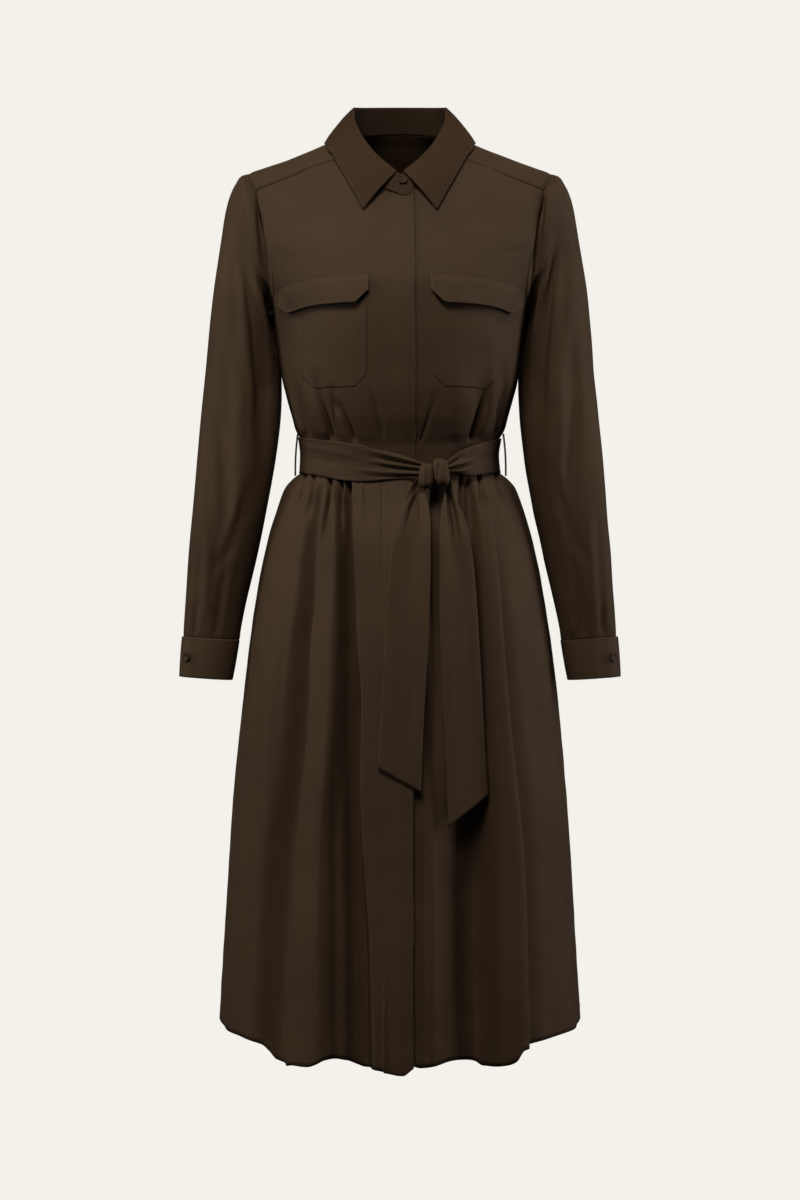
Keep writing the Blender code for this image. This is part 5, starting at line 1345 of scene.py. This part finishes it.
buttonPlaces = dict(collarAt=(0.0035, -0.0615), collarGap=0.0003, cuffTurn=47.0, cuffLift=0.0022,
                    cuffGap=0.0004)
loopShape = dict(top=-0.365, low=-0.417, out=0.1285, strand=0.00075, strandGap=0.0006, twists=70)
stand = surfaceOf(standGrid)
on = laidOn(stand, *buttonPlaces["collarAt"], 0.0)
out = (laidOn(stand, *buttonPlaces["collarAt"], 0.01) - on).normalized()
place = on + out * buttonPlaces["collarGap"]
dress(buttonPiece("collar_button", place, out), ["button_collar"])
for side, mirror in (("left", 1), ("right", -1)):
    middle = (np.array(cuffShape["top"]) + np.array(cuffShape["bottom"])) / 2
    lifts = (buttonPlaces["cuffLift"], buttonPlaces["cuffLift"] + 0.01)
    near, far = (sectionPoints(middle, [buttonPlaces["cuffTurn"]], lift)[0] * (mirror, 1, 1)
                 for lift in lifts)
    way = Vector(far - near).normalized()
    place = Vector(near) + way * buttonPlaces["cuffGap"]
    dress(buttonPiece(f"cuff_button_{side}", place, way), [f"button_cuff_{side}"])
    # thread loop: two twisted strands
    curve = bpy.data.curves.new(f"thread_loop_{side}", "CURVE")
    curve.dimensions = "3D"
    curve.bevel_depth = loopShape["strand"]
    curve.bevel_resolution = 2
    curve.use_fill_caps = True
    for phase in (0.0, math.pi):
        spline = curve.splines.new("POLY")
        spline.points.add(89)
        for i in range(90):
            t = i / 89
            height = loopShape["top"] + (loopShape["low"] - loopShape["top"]) * t
            base = loopShape["out"] + 0.003 * t + 0.001 * math.sin(math.pi * t) + 0.0007 * mirror
            twist = phase + t * loopShape["twists"]
            x, y = base + loopShape["strandGap"] * math.cos(twist), loopShape["strandGap"] * math.sin(twist)
            spline.points[i].co = (x * mirror, y, height, 1.0)
    curve.materials.append(sewingThread)
    dress(addObject(f"thread_loop_{side}", curve), [f"belt_loop_{side}"])
print("buttons and loops made")

# Stitches: one short raised thread after another

stitching = dict(Pitch=0.003, Length=0.0023, Width=0.00055, Height=0.00044)


def stitchTree():
    tree = bpy.data.node_groups.new("stitches", "GeometryNodeTree")
    sockets = tree.interface
    sockets.new_socket("Lines", in_out="INPUT", socket_type="NodeSocketGeometry")
    for label, value in stitching.items():
        socket = sockets.new_socket(label, in_out="INPUT", socket_type="NodeSocketFloat")
        socket.default_value = value
    sockets.new_socket("Thread", in_out="INPUT", socket_type="NodeSocketMaterial")
    sockets.new_socket("Stitches", in_out="OUTPUT", socket_type="NodeSocketGeometry")
    given = addNode(tree, "NodeGroupInput").outputs
    curve = addNode(tree, "GeometryNodeMeshToCurve", (), {"Mesh": given["Lines"]})
    even = addNode(tree, "GeometryNodeResampleCurve", {"mode": "LENGTH"},
                   {"Curve": curve.outputs[0], "Length": given["Pitch"]})
    blank = addNode(tree, "GeometryNodeMeshIcoSphere", {"Radius": 0.5, "Subdivisions": 2})
    size = addNode(tree, "ShaderNodeCombineXYZ", (),
                   {"X": given["Length"], "Y": given["Width"], "Z": given["Height"]})
    shaped = addNode(tree, "GeometryNodeTransform", (),
                     {"Geometry": blank.outputs[0], "Scale": size.outputs[0]})
    along = addNode(tree, "GeometryNodeInputTangent").outputs[0]
    outward = addNode(tree, "GeometryNodeInputNamedAttribute",
                      {"data_type": "FLOAT_VECTOR", "Name": "outward"}).outputs[0]
    first = addNode(tree, "FunctionNodeAlignRotationToVector", {"axis": "X"}, {"Vector": along})
    turned = addNode(tree, "FunctionNodeAlignRotationToVector", {"axis": "Z", "pivot_axis": "X"},
                     {"Rotation": first.outputs[0], "Vector": outward})
    placed = addNode(tree, "GeometryNodeInstanceOnPoints", (), {
        "Points": even.outputs[0], "Instance": shaped.outputs[0], "Rotation": turned.outputs[0]})
    real = addNode(tree, "GeometryNodeRealizeInstances", (), {"Geometry": placed.outputs[0]})
    finished = addNode(tree, "GeometryNodeSetMaterial", (),
                       {"Geometry": real.outputs[0], "Material": given["Thread"]})
    addNode(tree, "NodeGroupOutput", (), {"Stitches": finished.outputs[0]})
    return tree


def gridLine(points, rows, columns):
    # places and outward directions over a grid, at rows and columns between its own
    normals = gridNormals(points)
    steps = [max(2, int(1.5 * max(abs(b - a) for a, b in zip(ends, ends[1:])))) for ends in (rows, columns)]
    corners = np.stack([rows, columns], axis=1).astype(float)
    dense = [corners[:1]]
    for a, b in zip(corners, corners[1:]):
        dense.append(a + (b - a) * np.linspace(0, 1, max(steps) + 1)[1:, None])
    j, i = np.concatenate(dense).T
    j0 = np.clip(j.astype(int), 0, len(points) - 2)
    i0 = np.clip(i.astype(int), 0, points.shape[1] - 2)
    t, s = (j - j0)[:, None], (i - i0)[:, None]
    place, out = (grid[j0, i0] * (1 - t) * (1 - s) + grid[j0 + 1, i0] * t * (1 - s)
                  + grid[j0, i0 + 1] * (1 - t) * s + grid[j0 + 1, i0 + 1] * t * s
                  for grid in (points, normals))
    return place + out * 0.0001, out


def stitched(name, lines, thread=sewingThread):
    mesh = bpy.data.meshes.new(name)
    places = np.concatenate([line[0] for line in lines])
    starts = np.cumsum([0] + [len(line[0]) for line in lines])
    edges = [(k, k + 1) for a, b in zip(starts, starts[1:]) for k in range(a, b - 1)]
    mesh.from_pydata(places.tolist(), edges, [])
    outward = mesh.attributes.new("outward", "FLOAT_VECTOR", "POINT")
    outward.data.foreach_set("vector", np.concatenate([line[1] for line in lines]).reshape(-1))
    obj = addObject(name, mesh)
    row = obj.modifiers.new("Stitches", "NODES")
    row.node_group = threadRows
    for item in threadRows.interface.items_tree:
        if item.name in stitching:
            row[item.identifier] = stitching[item.name]
        if item.name == "Thread":
            row[item.identifier] = thread
    made = bpy.data.meshes.new_from_object(obj.evaluated_get(bpy.context.evaluated_depsgraph_get()))
    obj.modifiers.clear()
    obj.data = made
    made.name = name
    made.shade_smooth()
    return dress(obj, [])


threadRows = stitchTree()
leafEnd, leafWide = len(leafGrid) - 1, leafGrid.shape[1] - 1
leafRows, leafColumns = (leafEnd - 10, 1.4, 1.4, leafEnd - 10), (2.2, 2.2, leafWide - 2.2, leafWide - 2.2)
stitched("collar_stitches", [gridLine(leafGrid[::-1], leafRows, leafColumns)])
yokeWide, backCorner = yokePoints.shape[1] - 1, tipFrontCells + tipBackCells + 2
yokeLines = [gridLine(yokePoints, (1.2, seamCells - 1), (side, side)) for side in (1.2, yokeWide - 1.2)]
yokeLines.append(gridLine(yokePoints, (1.5, 1.5), (backCorner, yokeWide - backCorner)))
stitched("yoke_stitches", yokeLines)
for side in ("left", "right"):
    flap, pocket, cuff = flapGrids[side], pocketRows[side], cuffRows[side]
    high, wide = flap.shape[0] - 1, flap.shape[1] - 1
    aroundFlap = gridLine(flap, (high - 1, 1.3, 1.3, high - 1, high - 1), (1, 1, wide - 1, wide - 1, 1))
    stitched(f"flap_{side}_stitches", [aroundFlap], topThread)
    high, wide = pocket.shape[0] - 1, pocket.shape[1] - 1
    aroundPocket = gridLine(pocket, (high - 4, 1, 1, high - 4), (1, 1, wide - 1, wide - 1))
    stitched(f"pocket_{side}_stitches", [aroundPocket])
    cuff = cuff if side == "left" else cuff[::-1]
    cuffLines = [gridLine(cuff, (row, row), (2, cuff.shape[1] - 3)) for row in (1.3, len(cuff) - 2.3)]
    stitched(f"cuff_{side}_stitches", cuffLines)
stitched("placket_stitches", [gridLine(bodiceBand, (1, len(bodiceBand) - 2), (4.3, 4.3)),
                              gridLine(skirtBand, (2, len(skirtBand) - 2), (4.3, 4.3))])
hems = {
    "left": (skirtLeftPoints, (16, frontSkirtCells - 1)),
    "right": (skirtRightPoints, (1, frontSkirtCells - 4)),
    "rear": (skirtBackPoints, (1, backSkirtCells - 1)),
}
for name, (grid, ends) in hems.items():
    stitched(f"hem_{name}_stitches", [gridLine(grid, (2.3, 2.3), ends)])
print("stitches made")

# Stage, light and camera

studio = dict(  # lamps in watts
    key=105.0, left=36.0, right=48.0, back=10.0, lamp="fff8ee", ambient=0.06, background="f4f1eb",
    lens=60.0, sensor=36.0, cameraAt=(0.0, -2.5, -0.5725),
)
scene = bpy.context.scene
scene.view_settings.view_transform = "Standard"
scene.view_settings.look = "None"

world = bpy.data.worlds.new("studio")
world.use_nodes = True
scene.world = world
# the backdrop shows at full brightness but lights the cloth only weakly
worldTree = world.node_tree
backdrop = worldTree.nodes["Background"]
backdrop.inputs["Color"].default_value = linear(studio["background"])
ambient = addNode(worldTree, "ShaderNodeBackground",
                  {"Color": linear(studio["background"]), "Strength": studio["ambient"]})
ray = addNode(worldTree, "ShaderNodeLightPath")
blend = addNode(worldTree, "ShaderNodeMixShader", (), {
    0: ray.outputs["Is Camera Ray"], 1: ambient.outputs[0], 2: backdrop.outputs[0]})
worldTree.links.new(blend.outputs[0], worldTree.nodes["World Output"].inputs["Surface"])

bpy.ops.mesh.primitive_plane_add(size=14.0, location=(0, 2.0, -1.95))
floor = bpy.context.active_object
floor.name = "floor"
floorMat = bpy.data.materials.new("pale_studio_floor")
floorMat.use_nodes = True
floorTree = floorMat.node_tree
floorTree.nodes.remove(floorTree.nodes["Principled BSDF"])
glow = addNode(floorTree, "ShaderNodeEmission", {"Color": linear(studio["background"]), "Strength": 1.0})
floorTree.links.new(glow.outputs[0], floorTree.nodes["Material Output"].inputs["Surface"])
floor.data.materials.append(floorMat)
floor.visible_diffuse = False
floor.visible_glossy = False


def areaLight(name, place, size, power):
    light = bpy.data.lights.new(name, "AREA")
    light.shape = "RECTANGLE"
    light.size, light.size_y = size
    light.energy = power
    light.color = linear(studio["lamp"])[:3]
    obj = addObject(name, light)
    obj.location = place
    aim = Vector((0, 0, -0.5)) - Vector(place)
    obj.rotation_euler = aim.to_track_quat("-Z", "Y").to_euler()


areaLight("key_softbox", (-0.44, -1.84, 1.9), (1.4, 1.1), studio["key"])
areaLight("left_softbox", (-2.25, -0.5, 0.1), (0.8, 1.8), studio["left"])
areaLight("right_softbox", (2.35, -0.1, 0.1), (0.8, 1.8), studio["right"])
areaLight("rear_softbox", (0.4, 2.6, 1.2), (1.6, 1.6), studio["back"])

cameraData = bpy.data.cameras.new("camera")
cameraData.sensor_fit = "VERTICAL"
cameraData.sensor_height = studio["sensor"]
cameraData.lens = studio["lens"]
cameraData.clip_end = 50.0
camera = addObject("camera", cameraData)
camera.location = studio["cameraAt"]
camera.rotation_euler = (math.radians(90), 0, 0)
scene.camera = camera

print("scene made")
